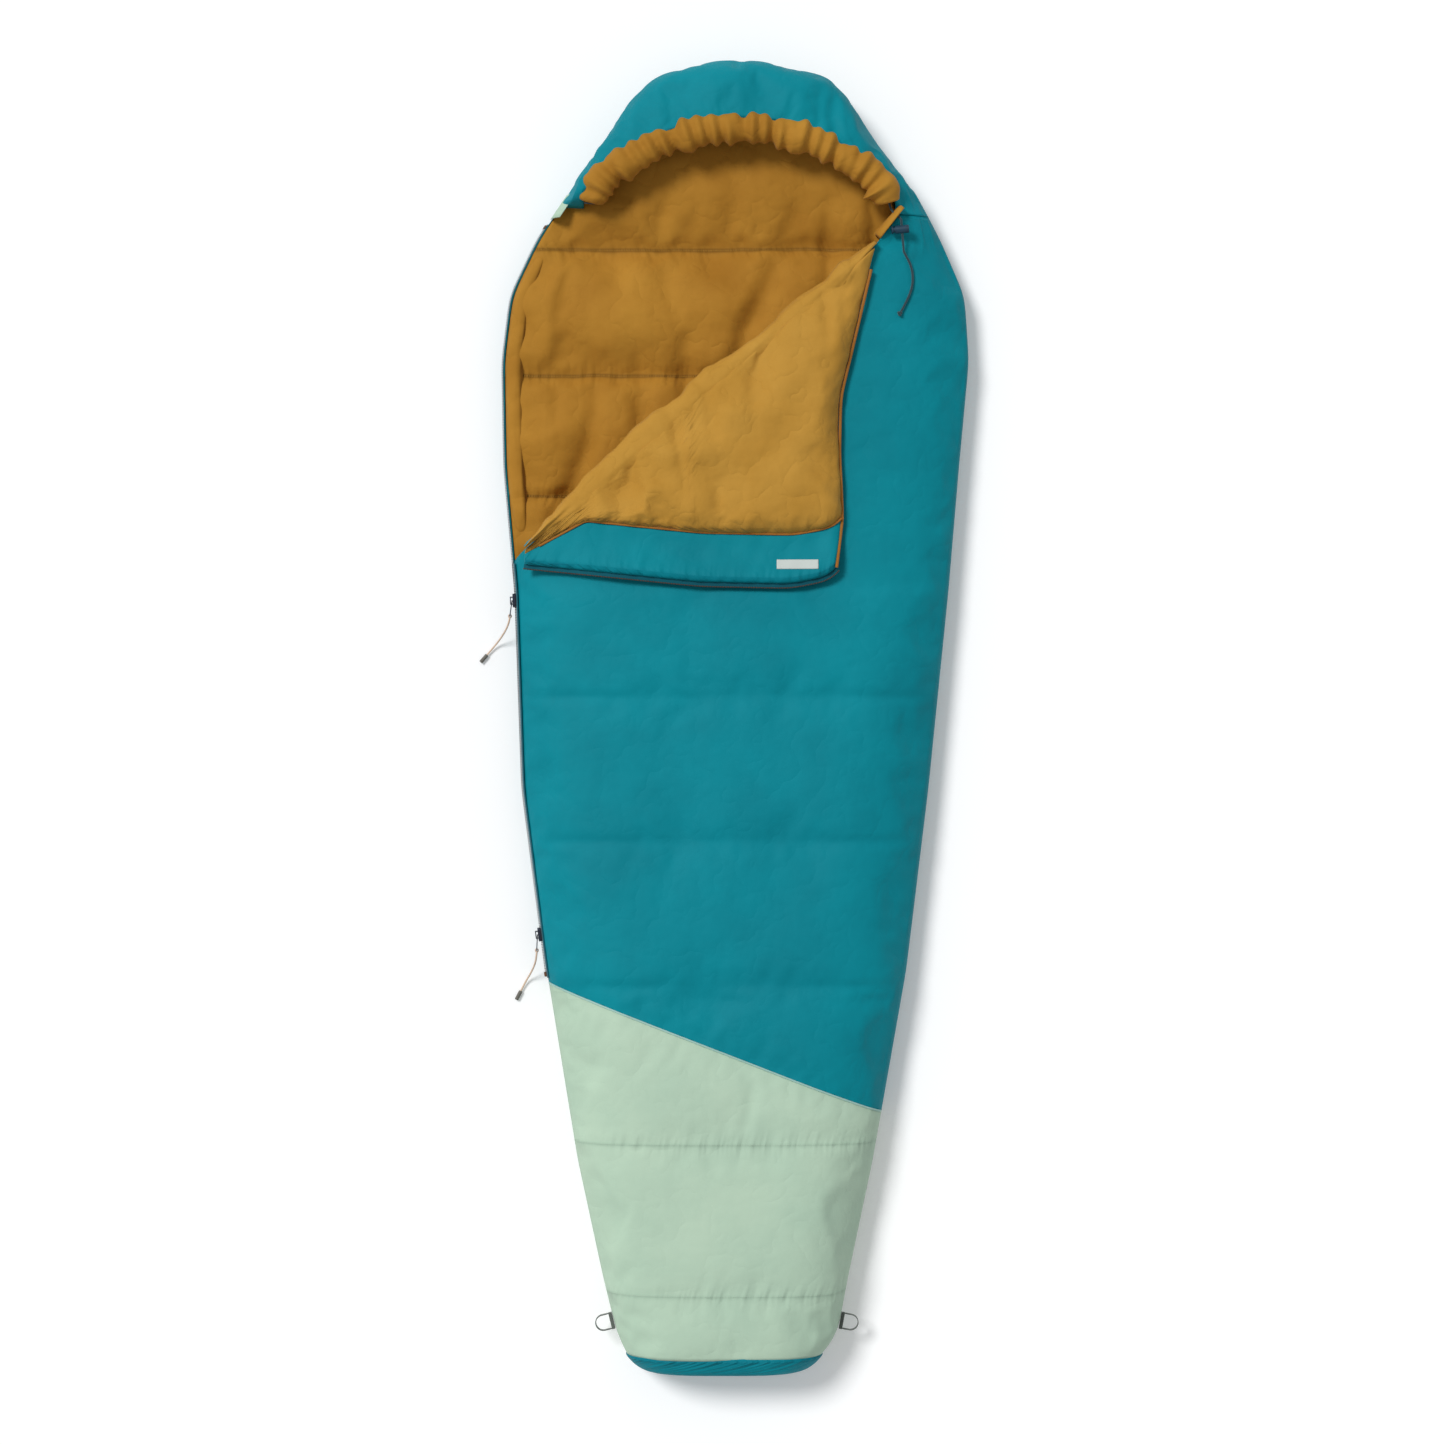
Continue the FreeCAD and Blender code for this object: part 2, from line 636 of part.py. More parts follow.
def route(points, radius_note):
    """Straight runs joined by tangent arcs, each as large as its two runs allow."""
    edges, start, radii = [], points[0], []
    for before, corner, after in zip(points, points[1:], points[2:]):
        back, ahead = before - corner, after - corner
        turn = math.pi - back.getAngle(ahead)
        reach = min(BEND_REACH, 0.45 * min(back.Length, ahead.Length))
        radii.append(reach / math.tan(turn / 2))
        a = corner + back.normalize() * reach
        b = corner + ahead.normalize() * reach
        inward = (back + ahead).normalize()
        hub = math.hypot(radii[-1], reach)
        middle = corner + inward * (hub - radii[-1])
        edges.append(Part.LineSegment(start, a).toShape())
        edges.append(Part.Arc(a, middle, b).toShape())
        start = b
    edges.append(Part.LineSegment(start, points[-1]).toShape())
    print(radius_note, "arc radii", [round(r, 1) for r in radii])
    return edges


def cord(name, points, radius):
    edges = route(points, name)
    solid = pipe(edges, radius)
    length = sum(e.Length for e in edges)
    straight = math.pi * radius**2 * length
    print(name, "length", round(length, 1), "volume share", round(solid.Volume / straight, 4))
    save(name, solid)


def rim():
    centre = RIM_RADIUS + LAYER_GAP
    edges, slope = rim_arch(centre, RIM_END_ANGLE)
    bored = pipe(edges, RIM_RADIUS).cut(pipe(edges, CHANNEL_RADIUS))
    save("hood_rim_tube", bored)
    save("hood_drawcord", pipe(edges, CORD_RADIUS))
    end = edges[-1].Vertexes[-1].Point
    outward = edges[-1].tangentAt(edges[-1].LastParameter)
    tab = Part.makeCylinder(RIM_RADIUS * 0.4, 1.2, end + outward * TAIL_GAP, outward)
    save("drawcord_anchor", tab)
    start = edges[0].Vertexes[0].Point
    return start, -edges[0].tangentAt(edges[0].FirstParameter)


def on_top(x, y, lift):
    p = graded(x, y)
    return FreeCAD.Vector(p.x, p.y, top_height(p.x, y) + lift)


def drawcord_lock(exit_point, heading):
    """Cord tail lying on the top shell, with a sprung lock on its straight run."""
    first = exit_point + heading * TAIL_GAP
    lying = CORD_RADIUS + TAIL_LIFT
    room = BEND_REACH + 1.0
    lock_start = on_top(*LOCK_FROM, LOCK_RADIUS + LOCK_LIFT)
    line = (on_top(*LOCK_TOWARDS, LOCK_RADIUS + LOCK_LIFT) - lock_start).normalize()
    lock_end = lock_start + line * (LOCK_TRAVEL + 2 * LOCK_RADIUS + 2 * room)
    tail = [first, first + heading * TAIL_LEAD, lock_start, lock_end]
    tail += [on_top(*p, lying) for p in TAIL_POINTS[:-1]]
    tail.append(on_top(*TAIL_POINTS[-1], KNOT_RADIUS + TAIL_LIFT))
    cord("drawcord_tail", tail, CORD_RADIUS)
    knot_run = (tail[-1] - tail[-2]).normalize()
    save("tail_knot", Part.makeSphere(KNOT_RADIUS, tail[-1] + knot_run * (KNOT_RADIUS + 0.2)))

    centre = lock_start + line * (room + LOCK_RADIUS)
    across = line.cross(FreeCAD.Vector(0, 0, 1)).normalize()
    cord_lock(centre, line, across)
    print("lock slides along", line, "plunger along", across, "centre", centre)


def cord_lock(centre, line, across):
    """Barrel with a sprung plunger; both are bored for the cord along line."""
    bore = LOCK_RADIUS - LOCK_WALL
    hole = CORD_RADIUS + LOCK_BORE_CLEAR
    base = centre - across * (LOCK_LENGTH / 2)
    before = centre - line * (3 * LOCK_RADIUS)
    cord_way = Part.makeCylinder(hole, 6 * LOCK_RADIUS, before, line)
    barrel = Part.makeCylinder(LOCK_RADIUS, LOCK_LENGTH, base, across)
    barrel = barrel.cut(Part.makeCylinder(bore, LOCK_LENGTH, base + across * LOCK_WALL, across))
    save("cord_lock_barrel", barrel.cut(cord_way))

    below = hole + LOCK_WEB
    proud = PLUNGER_STROKE + 0.4
    stem_length = LOCK_LENGTH / 2 + below + proud
    stem = Part.makeCylinder(bore - PLUNGER_CLEAR, stem_length, centre - across * below, across)
    head = Part.makeCylinder(LOCK_RADIUS, LOCK_CAP, base + across * (LOCK_LENGTH + proud), across)
    pushed = cord_way.copy()
    pushed.translate(across * PLUNGER_STROKE)
    slot_box = Part.makeBox(PLUNGER_STROKE, 2 * hole, 6 * LOCK_RADIUS)
    slot_box.translate(FreeCAD.Vector(0, -hole, 0))
    turn = FreeCAD.Placement(before, frame_rotation(across, line))
    slot_box.Placement = turn.multiply(slot_box.Placement)
    plunger = stem.fuse(head).cut(pushed.fuse(cord_way)).cut(slot_box)
    save("cord_lock_plunger", plunger.removeSplitter())
    lock_spring(base, across, bore, LOCK_LENGTH / 2 - LOCK_WALL - below)


def lock_spring(base, across, bore, room):
    """Coil spring between the barrel's closed end and the plunger."""
    radius = bore - PLUNGER_CLEAR - SPRING_WIRE - 0.4
    height = room - 2 * SPRING_WIRE - 0.4
    steps = int(SPRING_TURNS * SPRING_STEPS)
    points = []
    for i in range(steps + 1):
        turn = 2 * math.pi * i / SPRING_STEPS
        points.append(FreeCAD.Vector(radius * math.cos(turn), radius * math.sin(turn), height * i / steps))
    coil = Part.BSplineCurve()
    coil.interpolate(points)
    tangent = coil.tangent(coil.FirstParameter)[0]
    ring = Part.Wire(Part.Circle(points[0], tangent, SPRING_WIRE).toShape())
    spring = Part.Wire([coil.toShape()]).makePipeShell([ring], True, False)
    where = base + across * (LOCK_WALL + SPRING_WIRE + 0.2)
    spring.Placement = FreeCAD.Placement(where, FreeCAD.Rotation(FreeCAD.Vector(0, 0, 1), across))
    save("cord_lock_spring", spring)


def frame_rotation(x_axis, z_axis):
    y_axis = z_axis.cross(x_axis)
    return FreeCAD.Rotation(x_axis, y_axis, z_axis, "XZY")


# ---- zip ----
def side_band(out, low, high, start, stop):
    band = body(-out[1]).cut(body(-out[0]))
    return band.common(block(-FAR, 0, along(start), along(stop), low, high))


def zip_tracks():
    seam = SEAM_HEIGHT
    tape_foot = ZIP_FOOT - ZIP_RUN_OFF
    above, below = (seam + SEAM_GAP, seam + TAPE_HEIGHT), (seam - TAPE_HEIGHT, seam - SEAM_GAP)
    save("zip_tape_bottom", side_band(TAPE_OUT, *below, tape_foot, ZIP_HEAD))
    save("zip_tape_top", side_band(TAPE_OUT, *above, tape_foot, ZIP_OPEN))
    above, below = (seam + 0.1, seam + COIL_HEIGHT), (seam - COIL_HEIGHT, seam - 0.1)
    save("zip_coil_bottom", side_band(COIL_OUT, *below, ZIP_FOOT, ZIP_HEAD - 8))
    save("zip_coil_top", side_band(COIL_OUT, *above, ZIP_FOOT, ZIP_OPEN))
    low, high = seam - STOP_HALF, seam + STOP_HALF
    save("zip_bottom_stop", side_band(STOP_OUT, low, high, ZIP_FOOT - 8, ZIP_FOOT - 1))
    save("zip_top_stop", side_band(STOP_OUT, low, seam - SEAM_GAP, ZIP_HEAD - 7, ZIP_HEAD - 1))


def hood_trim():
    """Short cover over the head end of the zip."""
    edge, start, stop = GARAGE
    region = block(-FAR, graded(edge, 0).x, along(start), along(stop), SEAM_HEIGHT + 1, FAR)
    save("zip_garage", body(-2.0).cut(body(-0.4)).common(region))


def draught_tube():
    low = SEAM_HEIGHT - SEAM_GAP / 2 + 0.3
    ys = [DRAUGHT_FROM, 1450, 1620, 1725, DRAUGHT_TO]
    path = [FreeCAD.Vector(side_x(y, -1) + 3, along(y), 0) for y in ys]
    inner = [p + FreeCAD.Vector(DRAUGHT_WIDTH, 0, 0) for p in path]
    tube = prism(path + inner[::-1], low, low + DRAUGHT_HEIGHT)
    high = [e for e in tube.Edges if min(v.Z for v in e.Vertexes) > low + 1]
    long = [e for e in high if abs(e.Vertexes[0].Y - e.Vertexes[-1].Y) > 5]
    save("draught_tube", tube.makeFillet(DRAUGHT_HEIGHT * 0.45, long))


def slider_place(at, low, high):
    """Frame on the side seam: x outwards, y along the zip towards the head, z up."""
    a = FreeCAD.Vector(side_x(low, -1), along(low), SEAM_HEIGHT)
    b = FreeCAD.Vector(side_x(high, -1), along(high), SEAM_HEIGHT)
    run = (b - a).normalize()
    share = (at - low) / (high - low)
    origin = a + (b - a) * share
    outward = FreeCAD.Vector(-run.y, run.x, 0)
    if outward.x > 0:
        outward = -outward
    return origin, run, outward


def slider_corner(edge, half):
    """True for the four upright corner edges of the slider's front plate."""
    end = edge.Vertexes[0]
    outwards = abs(edge.tangentAt(edge.FirstParameter).x) > 0.99
    at_corner = abs(abs(end.Y) - SLIDER_LENGTH / 2) < 0.01 and abs(abs(end.Z) - half) < 0.01
    return outwards and at_corner and edge.Length > SLIDER_WALL + 1.5


def slider_body(face):
    """Plate over the coil, a flange above and below it, and the bridge for the pull tab."""
    half, reach = SLIDER_HEIGHT / 2, SLIDER_LENGTH / 2
    inner = COIL_OUT[1] + RUNNING_GAP
    tip = TAPE_OUT[1] + RUNNING_GAP
    channel = COIL_HEIGHT + RUNNING_GAP
    plate = block(inner, face, -reach, reach, -half, half)
    flanges = [
        block(tip, inner + 0.5, -reach, reach, z0, z1)
        for z0, z1 in ((channel, half), (-half, -channel))
    ]
    top = face + BRIDGE_HEIGHT
    arch = block(face - 0.5, top, -BRIDGE_REACH, BRIDGE_REACH, -BRIDGE_WIDTH / 2, BRIDGE_WIDTH / 2)
    gap = BRIDGE_REACH - 2.0
    window = block(face, top - BRIDGE_WALL, -gap, gap, -half, half)
    solid = plate.fuse(flanges).fuse(arch.cut(window)).removeSplitter()
    return solid.makeFillet(SLIDER_ROUND, [e for e in solid.Edges if slider_corner(e, half)])


def pull_tab(pin_out):
    """Flat tab with a window round the bridge and an eye for the cord."""
    thin, half = TAB_THICKNESS / 2, TAB_WIDTH / 2
    pin = Part.makeCylinder(
        thin, TAB_WIDTH, FreeCAD.Vector(pin_out, 0, -half), FreeCAD.Vector(0, 0, 1)
    )
    plate = block(pin_out - thin, pin_out + thin, -TAB_LENGTH, 0, -half, half)
    side = half - TAB_RIM
    hole = block(pin_out - 5, pin_out + 5, -TAB_WINDOW, -thin, -side, side)
    eye_from = -TAB_LENGTH + TAB_END
    eye = block(pin_out - 5, pin_out + 5, eye_from, eye_from + 4, -TAB_EYE / 2, TAB_EYE / 2)
    tab = plate.fuse(pin).cut(hole).cut(eye).removeSplitter()
    tab.rotate(FreeCAD.Vector(pin_out, 0, 0), FreeCAD.Vector(0, 0, 1), TAB_REST)
    return tab


def zip_slider(name, at, low, high, drape):
    origin, run, outward = slider_place(at, low, high)
    face = COIL_OUT[1] + RUNNING_GAP + SLIDER_WALL
    pin_out = face + TAB_THICKNESS / 2 + 0.5
    save(name + "_slider", place_on_side(slider_body(face), origin, run, outward))
    save(name + "_pull_tab", place_on_side(pull_tab(pin_out), origin, run, outward))
    print(name, "pull hinge", origin + outward * pin_out, "zip run", run)

    turned = math.radians(TAB_REST)
    heading = outward * math.sin(turned) - run * math.cos(turned)
    tab_end = origin + outward * pin_out + heading * TAB_LENGTH
    points = [tab_end + heading * 0.3]
    for out, back, drop in drape:
        points.append(tab_end + outward * out - run * back + FreeCAD.Vector(0, 0, drop))
    cord(name + "_pull_cord", points, PULL_CORD_RADIUS)
    last = (points[-1] - points[-2]).normalize()
    grip = Part.makeCylinder(GRIP_RADIUS, GRIP_LENGTH, points[-1] + last * 0.2, last)
    save(name + "_pull_grip", grip.makeFillet(1.0, [e for e in grip.Edges if e.Closed]))


def place_on_side(solid, origin, run, outward):
    """From the slider's own frame (x outwards, y along the zip, z up) to the bag's."""
    placed = solid.copy()
    if outward.x < 0:
        placed = solid.mirror(FreeCAD.Vector(0, 0, 0), FreeCAD.Vector(1, 0, 0))
    angle = math.degrees(math.atan2(run.y, run.x)) - 90
    placed.rotate(FreeCAD.Vector(0, 0, 0), FreeCAD.Vector(0, 0, 1), angle)
    placed.translate(origin)
    return placed


# ---- foot loops ----
def foot_loop(name, side):
    reach = 0.75 * LOOP_SPREAD
    low_end = FreeCAD.Vector(side_x(LOOP_AT - reach, side), along(LOOP_AT - reach), SEAM_HEIGHT)
    high_end = FreeCAD.Vector(side_x(LOOP_AT + reach, side), along(LOOP_AT + reach), SEAM_HEIGHT)
    root = (low_end + high_end) / 2
    run = (high_end - low_end).normalize()
    straight = LOOP_LENGTH - LOOP_SPREAD / 2
    outer = LOOP_SPREAD / 2
    inner = outer - LOOP_THICKNESS
    low = -LOOP_WIDTH / 2
    pivot = LOOP_TAB + LOOP_WIDTH / 2

    def bow(radius):
        bar = block(pivot, straight, -radius, radius, low, -low)
        round_end = Part.makeCylinder(radius, LOOP_WIDTH, FreeCAD.Vector(straight, 0, low))
        foot = FreeCAD.Vector(pivot, -radius, 0)
        base = Part.makeCylinder(-low, 2 * radius, foot, FreeCAD.Vector(0, 1, 0))
        return bar.fuse([round_end, base])

    eye = block(0, straight, -inner, inner, low - 1, -low + 1)
    eye = eye.fuse(Part.makeCylinder(inner, LOOP_WIDTH + 2, FreeCAD.Vector(straight, 0, low - 1)))
    band = bow(outer).cut(eye)
    band = band.removeSplitter()
    sleeve_gap = LOOP_CLEAR + outer
    tab = block(LOOP_CLEAR, LOOP_TAB - 0.3, -sleeve_gap, sleeve_gap, low, -low)
    angle = math.degrees(math.atan2(run.y, run.x)) - 90
    for node, solid in ((name, band), (name + "_tab", tab)):
        if side < 0:
            solid = solid.mirror(FreeCAD.Vector(0, 0, 0), FreeCAD.Vector(1, 0, 0))
        solid.rotate(FreeCAD.Vector(0, 0, 0), FreeCAD.Vector(0, 0, 1), angle)
        solid.translate(root)
        save(node, solid)
    print(name, "root", root, "run", run)


# Pull cords from the tab end: outwards, footward along the zip, up; they end on the floor.
TOP_DRAPE = [(1.4, 8, 0), (7, 20, -9), (17, 33, -26), (28, 45, -40.4), (41, 59, -40.4)]
BOTTOM_DRAPE = [(1.4, 8, 0), (6, 21, -9), (15, 35, -26), (25, 47, -40.4), (36, 63, -40.4)]


def main():
    os.makedirs("parts", exist_ok=True)
    bottom_half()
    top_half()
    foot_end()
    foot_seam_piping()
    flap()
    fold_roll()
    exit_point, heading = rim()
    drawcord_lock(exit_point, heading)
    zip_tracks()
    hood_trim()
    draught_tube()
    zip_slider("top", TOP_SLIDER_AT, ZIP_MIDDLE, ZIP_KNEE, TOP_DRAPE)
    zip_slider("bottom", BOTTOM_SLIDER_AT, ZIP_FOOT, ZIP_MIDDLE, BOTTOM_DRAPE)
    foot_loop("foot_loop_left", -1)
    foot_loop("foot_loop_right", 1)


main()
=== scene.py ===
# %% [markdown]
# A mummy sleeping bag, lying on its back with one corner turned down.
#
# A bag like this is cloth and air: a shell outside, a lining inside, and batting sewn
# between them in channels. Each cloth is modelled as its own sheet or padded form, and the
# small hard parts (sliders, tabs, cord lock, loops) stay as the frame has them, with better
# finishes. Everything is in metres, in the frame's own axes: +Y to the head, +Z up.

# %% Load the frame
import bpy
import bmesh
import json
import math
import numpy as np
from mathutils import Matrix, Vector
from mathutils.bvhtree import BVHTree

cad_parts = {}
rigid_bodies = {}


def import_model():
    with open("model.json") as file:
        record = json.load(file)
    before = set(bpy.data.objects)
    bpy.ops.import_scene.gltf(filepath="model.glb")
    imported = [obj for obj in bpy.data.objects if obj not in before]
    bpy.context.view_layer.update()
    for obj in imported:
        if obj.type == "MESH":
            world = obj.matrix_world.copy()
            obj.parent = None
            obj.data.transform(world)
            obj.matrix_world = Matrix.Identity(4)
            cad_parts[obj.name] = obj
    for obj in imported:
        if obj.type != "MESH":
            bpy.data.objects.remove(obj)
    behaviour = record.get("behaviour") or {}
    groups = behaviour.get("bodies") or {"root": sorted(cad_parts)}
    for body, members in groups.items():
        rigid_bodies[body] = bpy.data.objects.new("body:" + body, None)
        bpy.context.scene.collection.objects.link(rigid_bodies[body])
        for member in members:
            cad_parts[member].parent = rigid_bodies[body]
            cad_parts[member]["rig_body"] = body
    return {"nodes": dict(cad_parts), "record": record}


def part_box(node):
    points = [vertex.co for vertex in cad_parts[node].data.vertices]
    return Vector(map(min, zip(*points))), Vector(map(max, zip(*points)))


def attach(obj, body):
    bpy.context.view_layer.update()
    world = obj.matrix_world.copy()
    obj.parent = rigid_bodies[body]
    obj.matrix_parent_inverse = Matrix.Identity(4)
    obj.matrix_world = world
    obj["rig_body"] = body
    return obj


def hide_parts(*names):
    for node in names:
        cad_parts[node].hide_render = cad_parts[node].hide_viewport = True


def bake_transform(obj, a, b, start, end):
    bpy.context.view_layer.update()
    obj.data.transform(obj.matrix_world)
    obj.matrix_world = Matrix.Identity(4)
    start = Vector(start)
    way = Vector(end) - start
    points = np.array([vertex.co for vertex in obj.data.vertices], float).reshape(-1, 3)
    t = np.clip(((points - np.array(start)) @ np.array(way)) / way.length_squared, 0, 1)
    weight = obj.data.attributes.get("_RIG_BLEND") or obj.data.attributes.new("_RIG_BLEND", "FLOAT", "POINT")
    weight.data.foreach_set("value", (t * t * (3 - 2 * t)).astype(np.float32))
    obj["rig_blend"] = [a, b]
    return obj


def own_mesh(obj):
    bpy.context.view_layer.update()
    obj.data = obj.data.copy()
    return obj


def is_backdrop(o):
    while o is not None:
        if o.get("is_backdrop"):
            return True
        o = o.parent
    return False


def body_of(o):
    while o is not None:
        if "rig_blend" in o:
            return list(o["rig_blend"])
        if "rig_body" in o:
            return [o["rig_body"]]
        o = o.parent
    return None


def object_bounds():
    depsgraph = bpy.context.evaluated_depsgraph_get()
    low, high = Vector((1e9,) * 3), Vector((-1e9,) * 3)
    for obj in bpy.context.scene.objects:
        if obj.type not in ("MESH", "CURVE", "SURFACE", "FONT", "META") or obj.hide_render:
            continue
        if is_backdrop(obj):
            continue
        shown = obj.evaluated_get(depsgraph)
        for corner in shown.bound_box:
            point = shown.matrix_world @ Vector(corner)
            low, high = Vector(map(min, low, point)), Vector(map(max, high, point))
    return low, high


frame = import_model()
cad_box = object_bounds()
nodes = frame["nodes"]
joints = {j["name"]: j for j in frame["record"]["behaviour"]["joints"]}

# %% [markdown]
# The camera looks straight down from high above, so the bag keeps its true outline. A long
# lens from six metres keeps the puffed hood from looking nearer than the flat foot.

# %% Camera
CAMERA_HEIGHT = 6.0
VIEW_SIDE = 2.316  # width of ground the square picture takes in
VIEW_CENTRE = (-0.022, -0.010)
MIDDLE_HEIGHT = 0.06  # the bag's own middle, where VIEW_SIDE is measured
SENSOR = 36.0
camera_data = bpy.data.cameras.new("camera")
camera_data.sensor_width = SENSOR
camera_data.lens = SENSOR * (CAMERA_HEIGHT - MIDDLE_HEIGHT) / VIEW_SIDE
camera = bpy.data.objects.new("camera", camera_data)
camera.location = (*VIEW_CENTRE, CAMERA_HEIGHT)
bpy.context.collection.objects.link(camera)
bpy.context.scene.camera = camera
print("camera lens", round(camera_data.lens, 1), "mm")

# %% [markdown]
# Three free cords: a short pull on each zip slider, and the tail of the hood's drawcord.
# A limp cord has no corners, so each is one NURBS spline through a few control points. The
# pulls leave the tab, fall to the ground and lie there; the tail runs through the lock and
# then lies along the shoulder.

# %% Cords
PULL_CORD = 0.003
DRAWCORD = 0.0035
TAB_LENGTH = 0.026
TAB_GAP = 0.0003
TAB_REST = math.radians(10)


def nurbs_cord(name, points, diameter):
    curve = bpy.data.curves.new(name, "CURVE")
    curve.dimensions = "3D"
    curve.bevel_depth = diameter / 2
    curve.bevel_resolution = 4
    curve.resolution_u = 12
    curve.use_fill_caps = True
    spline = curve.splines.new("NURBS")
    spline.points.add(len(points) - 1)
    for control, point in zip(spline.points, points):
        control.co = (*point, 1.0)
    spline.order_u = 3
    spline.use_endpoint_u = True
    piece = bpy.data.objects.new(name, curve)
    bpy.context.collection.objects.link(piece)
    return piece


def pull_route(flip, run, drape):
    """Control points of a pull cord, from the end of its tab; also that end and its heading."""
    along = Vector(run).normalized()
    out = Vector((-along.y, along.x, 0))
    heading = out * math.sin(TAB_REST) - along * math.cos(TAB_REST)
    end = Vector(flip) + heading * TAB_LENGTH
    points = [end + heading * TAB_GAP]
    points += [end + out * o - along * r + Vector((0, 0, z)) for o, r, z in drape]
    return points, end, heading


TOP_DRAPE = [
    (0.0014, 0.008, 0), (0.007, 0.020, -0.009), (0.017, 0.033, -0.026),
    (0.028, 0.045, -0.0404), (0.041, 0.059, -0.0404),
]
BOTTOM_DRAPE = [
    (0.0014, 0.008, 0), (0.006, 0.021, -0.009), (0.015, 0.035, -0.026),
    (0.025, 0.047, -0.0404), (0.036, 0.063, -0.0404),
]
LOCK_IN, LOCK_OUT = Vector((0.2620, 0.7910, 0.1064)), Vector((0.2666, 0.7383, 0.1025))
LOCK_WAY = [LOCK_IN.lerp(LOCK_OUT, t) for t in (0, 0.08, 0.5, 0.92, 1)]  # straight through the lock
TAIL_ROUTE = [
    (0.2437, 0.8175, 0.0979), (0.2449, 0.8068, 0.0957), *LOCK_WAY, (0.2790, 0.7180, 0.0955),
    (0.2820, 0.6910, 0.0968), (0.2740, 0.6650, 0.0993), (0.2620, 0.6440, 0.1018),
]
top_pull_points, top_tab_end, top_heading = pull_route(
    joints["top_pull_flip"]["pos_m"], joints["top_slider_run"]["axis"], TOP_DRAPE)
bottom_pull_points, bottom_tab_end, bottom_heading = pull_route(
    joints["bottom_pull_flip"]["pos_m"], joints["bottom_slider_run"]["axis"], BOTTOM_DRAPE)
top_cord = nurbs_cord("top_cord", top_pull_points, PULL_CORD)
bottom_cord = nurbs_cord("bottom_cord", bottom_pull_points, PULL_CORD)
tail_cord = nurbs_cord("tail_cord", [Vector(p) for p in TAIL_ROUTE], DRAWCORD)
for route in (top_pull_points, bottom_pull_points, TAIL_ROUTE):
    print("a cord starts at", [round(c, 3) for c in route[0]])

# %% [markdown]
# Finishes come next. Four shader groups hold what the cloths share: the weave's fine relief,
# slow drift of colour, small wrinkles, and the dimples, thread and painted shade of a sewn
# line. A group gives out only heights, masks and colours; the shader itself stays in each
# material, with its constants on its own sockets.

# %% Shader groups
def start_group(name, inputs, outputs):
    group = bpy.data.node_groups.new(name, "ShaderNodeTree")
    for label, kind, value in inputs:
        socket = group.interface.new_socket(label, in_out="INPUT", socket_type=kind)
        if value is not None:
            socket.default_value = value
    for label, kind in outputs:
        group.interface.new_socket(label, in_out="OUTPUT", socket_type=kind)
    return group, group.nodes.new("NodeGroupInput"), group.nodes.new("NodeGroupOutput")


def math_node(tree, operation, a, b=None, clamp=False):
    node = tree.nodes.new("ShaderNodeMath")
    node.operation = operation
    node.use_clamp = clamp
    for socket, value in zip(node.inputs, (a, b)):
        if value is None:
            continue
        if isinstance(value, (int, float)):
            socket.default_value = value
        else:
            tree.links.new(value, socket)
    return node.outputs[0]


def noise_node(tree, vector, scale, detail=3.0, roughness=0.5):
    node = tree.nodes.new("ShaderNodeTexNoise")
    node.inputs["Detail"].default_value = detail
    node.inputs["Roughness"].default_value = roughness
    tree.links.new(vector, node.inputs["Vector"])
    if isinstance(scale, (int, float)):
        node.inputs["Scale"].default_value = scale
    else:
        tree.links.new(scale, node.inputs["Scale"])
    return node.outputs["Fac"]


def scaled(tree, vector, factors):
    node = tree.nodes.new("ShaderNodeVectorMath")
    node.operation = "MULTIPLY"
    tree.links.new(vector, node.inputs[0])
    node.inputs[1].default_value = factors
    return node.outputs[0]


VECTOR, FLOAT, COLOUR = "NodeSocketVector", "NodeSocketFloat", "NodeSocketColor"

weave, g_in, g_out = start_group(
    "woven relief", [("Vector", VECTOR, None), ("Thread", FLOAT, 0.0006)], [("Height", FLOAT)])
split = weave.nodes.new("ShaderNodeSeparateXYZ")
weave.links.new(g_in.outputs["Vector"], split.inputs[0])
turns = math_node(weave, "DIVIDE", math.pi, g_in.outputs["Thread"])
warp = math_node(weave, "SINE", math_node(weave, "MULTIPLY", split.outputs[0], turns))
weft = math_node(weave, "SINE", math_node(weave, "MULTIPLY", split.outputs[1], turns))
crossing = math_node(weave, "MULTIPLY", warp, weft)
weave.links.new(math_node(weave, "MULTIPLY_ADD", crossing, 0.5), g_out.inputs["Height"])

drift, g_in, g_out = start_group(
    "colour drift",
    [("Vector", VECTOR, None), ("Colour", COLOUR, None), ("Shade", COLOUR, None), ("Scale", FLOAT, 9.0)],
    [("Colour", COLOUR)])
cloudy = noise_node(drift, g_in.outputs["Vector"], g_in.outputs["Scale"], 4.0, 0.6)
ramp = drift.nodes.new("ShaderNodeMapRange")
ramp.inputs["From Min"].default_value = 0.3
ramp.inputs["From Max"].default_value = 0.7
drift.links.new(cloudy, ramp.inputs["Value"])
mix = drift.nodes.new("ShaderNodeMix")
mix.data_type = "RGBA"
drift.links.new(ramp.outputs[0], mix.inputs["Factor"])
drift.links.new(g_in.outputs["Colour"], mix.inputs["A"])
drift.links.new(g_in.outputs["Shade"], mix.inputs["B"])
drift.links.new(mix.outputs["Result"], g_out.inputs["Colour"])

wrinkles, g_in, g_out = start_group(
    "small wrinkles", [("Vector", VECTOR, None), ("Scale", FLOAT, 22.0)], [("Height", FLOAT)])
folds = noise_node(wrinkles, g_in.outputs["Vector"], g_in.outputs["Scale"], 2.5, 0.55)
ridge = math_node(wrinkles, "ABSOLUTE", math_node(wrinkles, "SUBTRACT", folds, 0.5))
wrinkles.links.new(math_node(wrinkles, "POWER", ridge, 0.7), g_out.inputs["Height"])

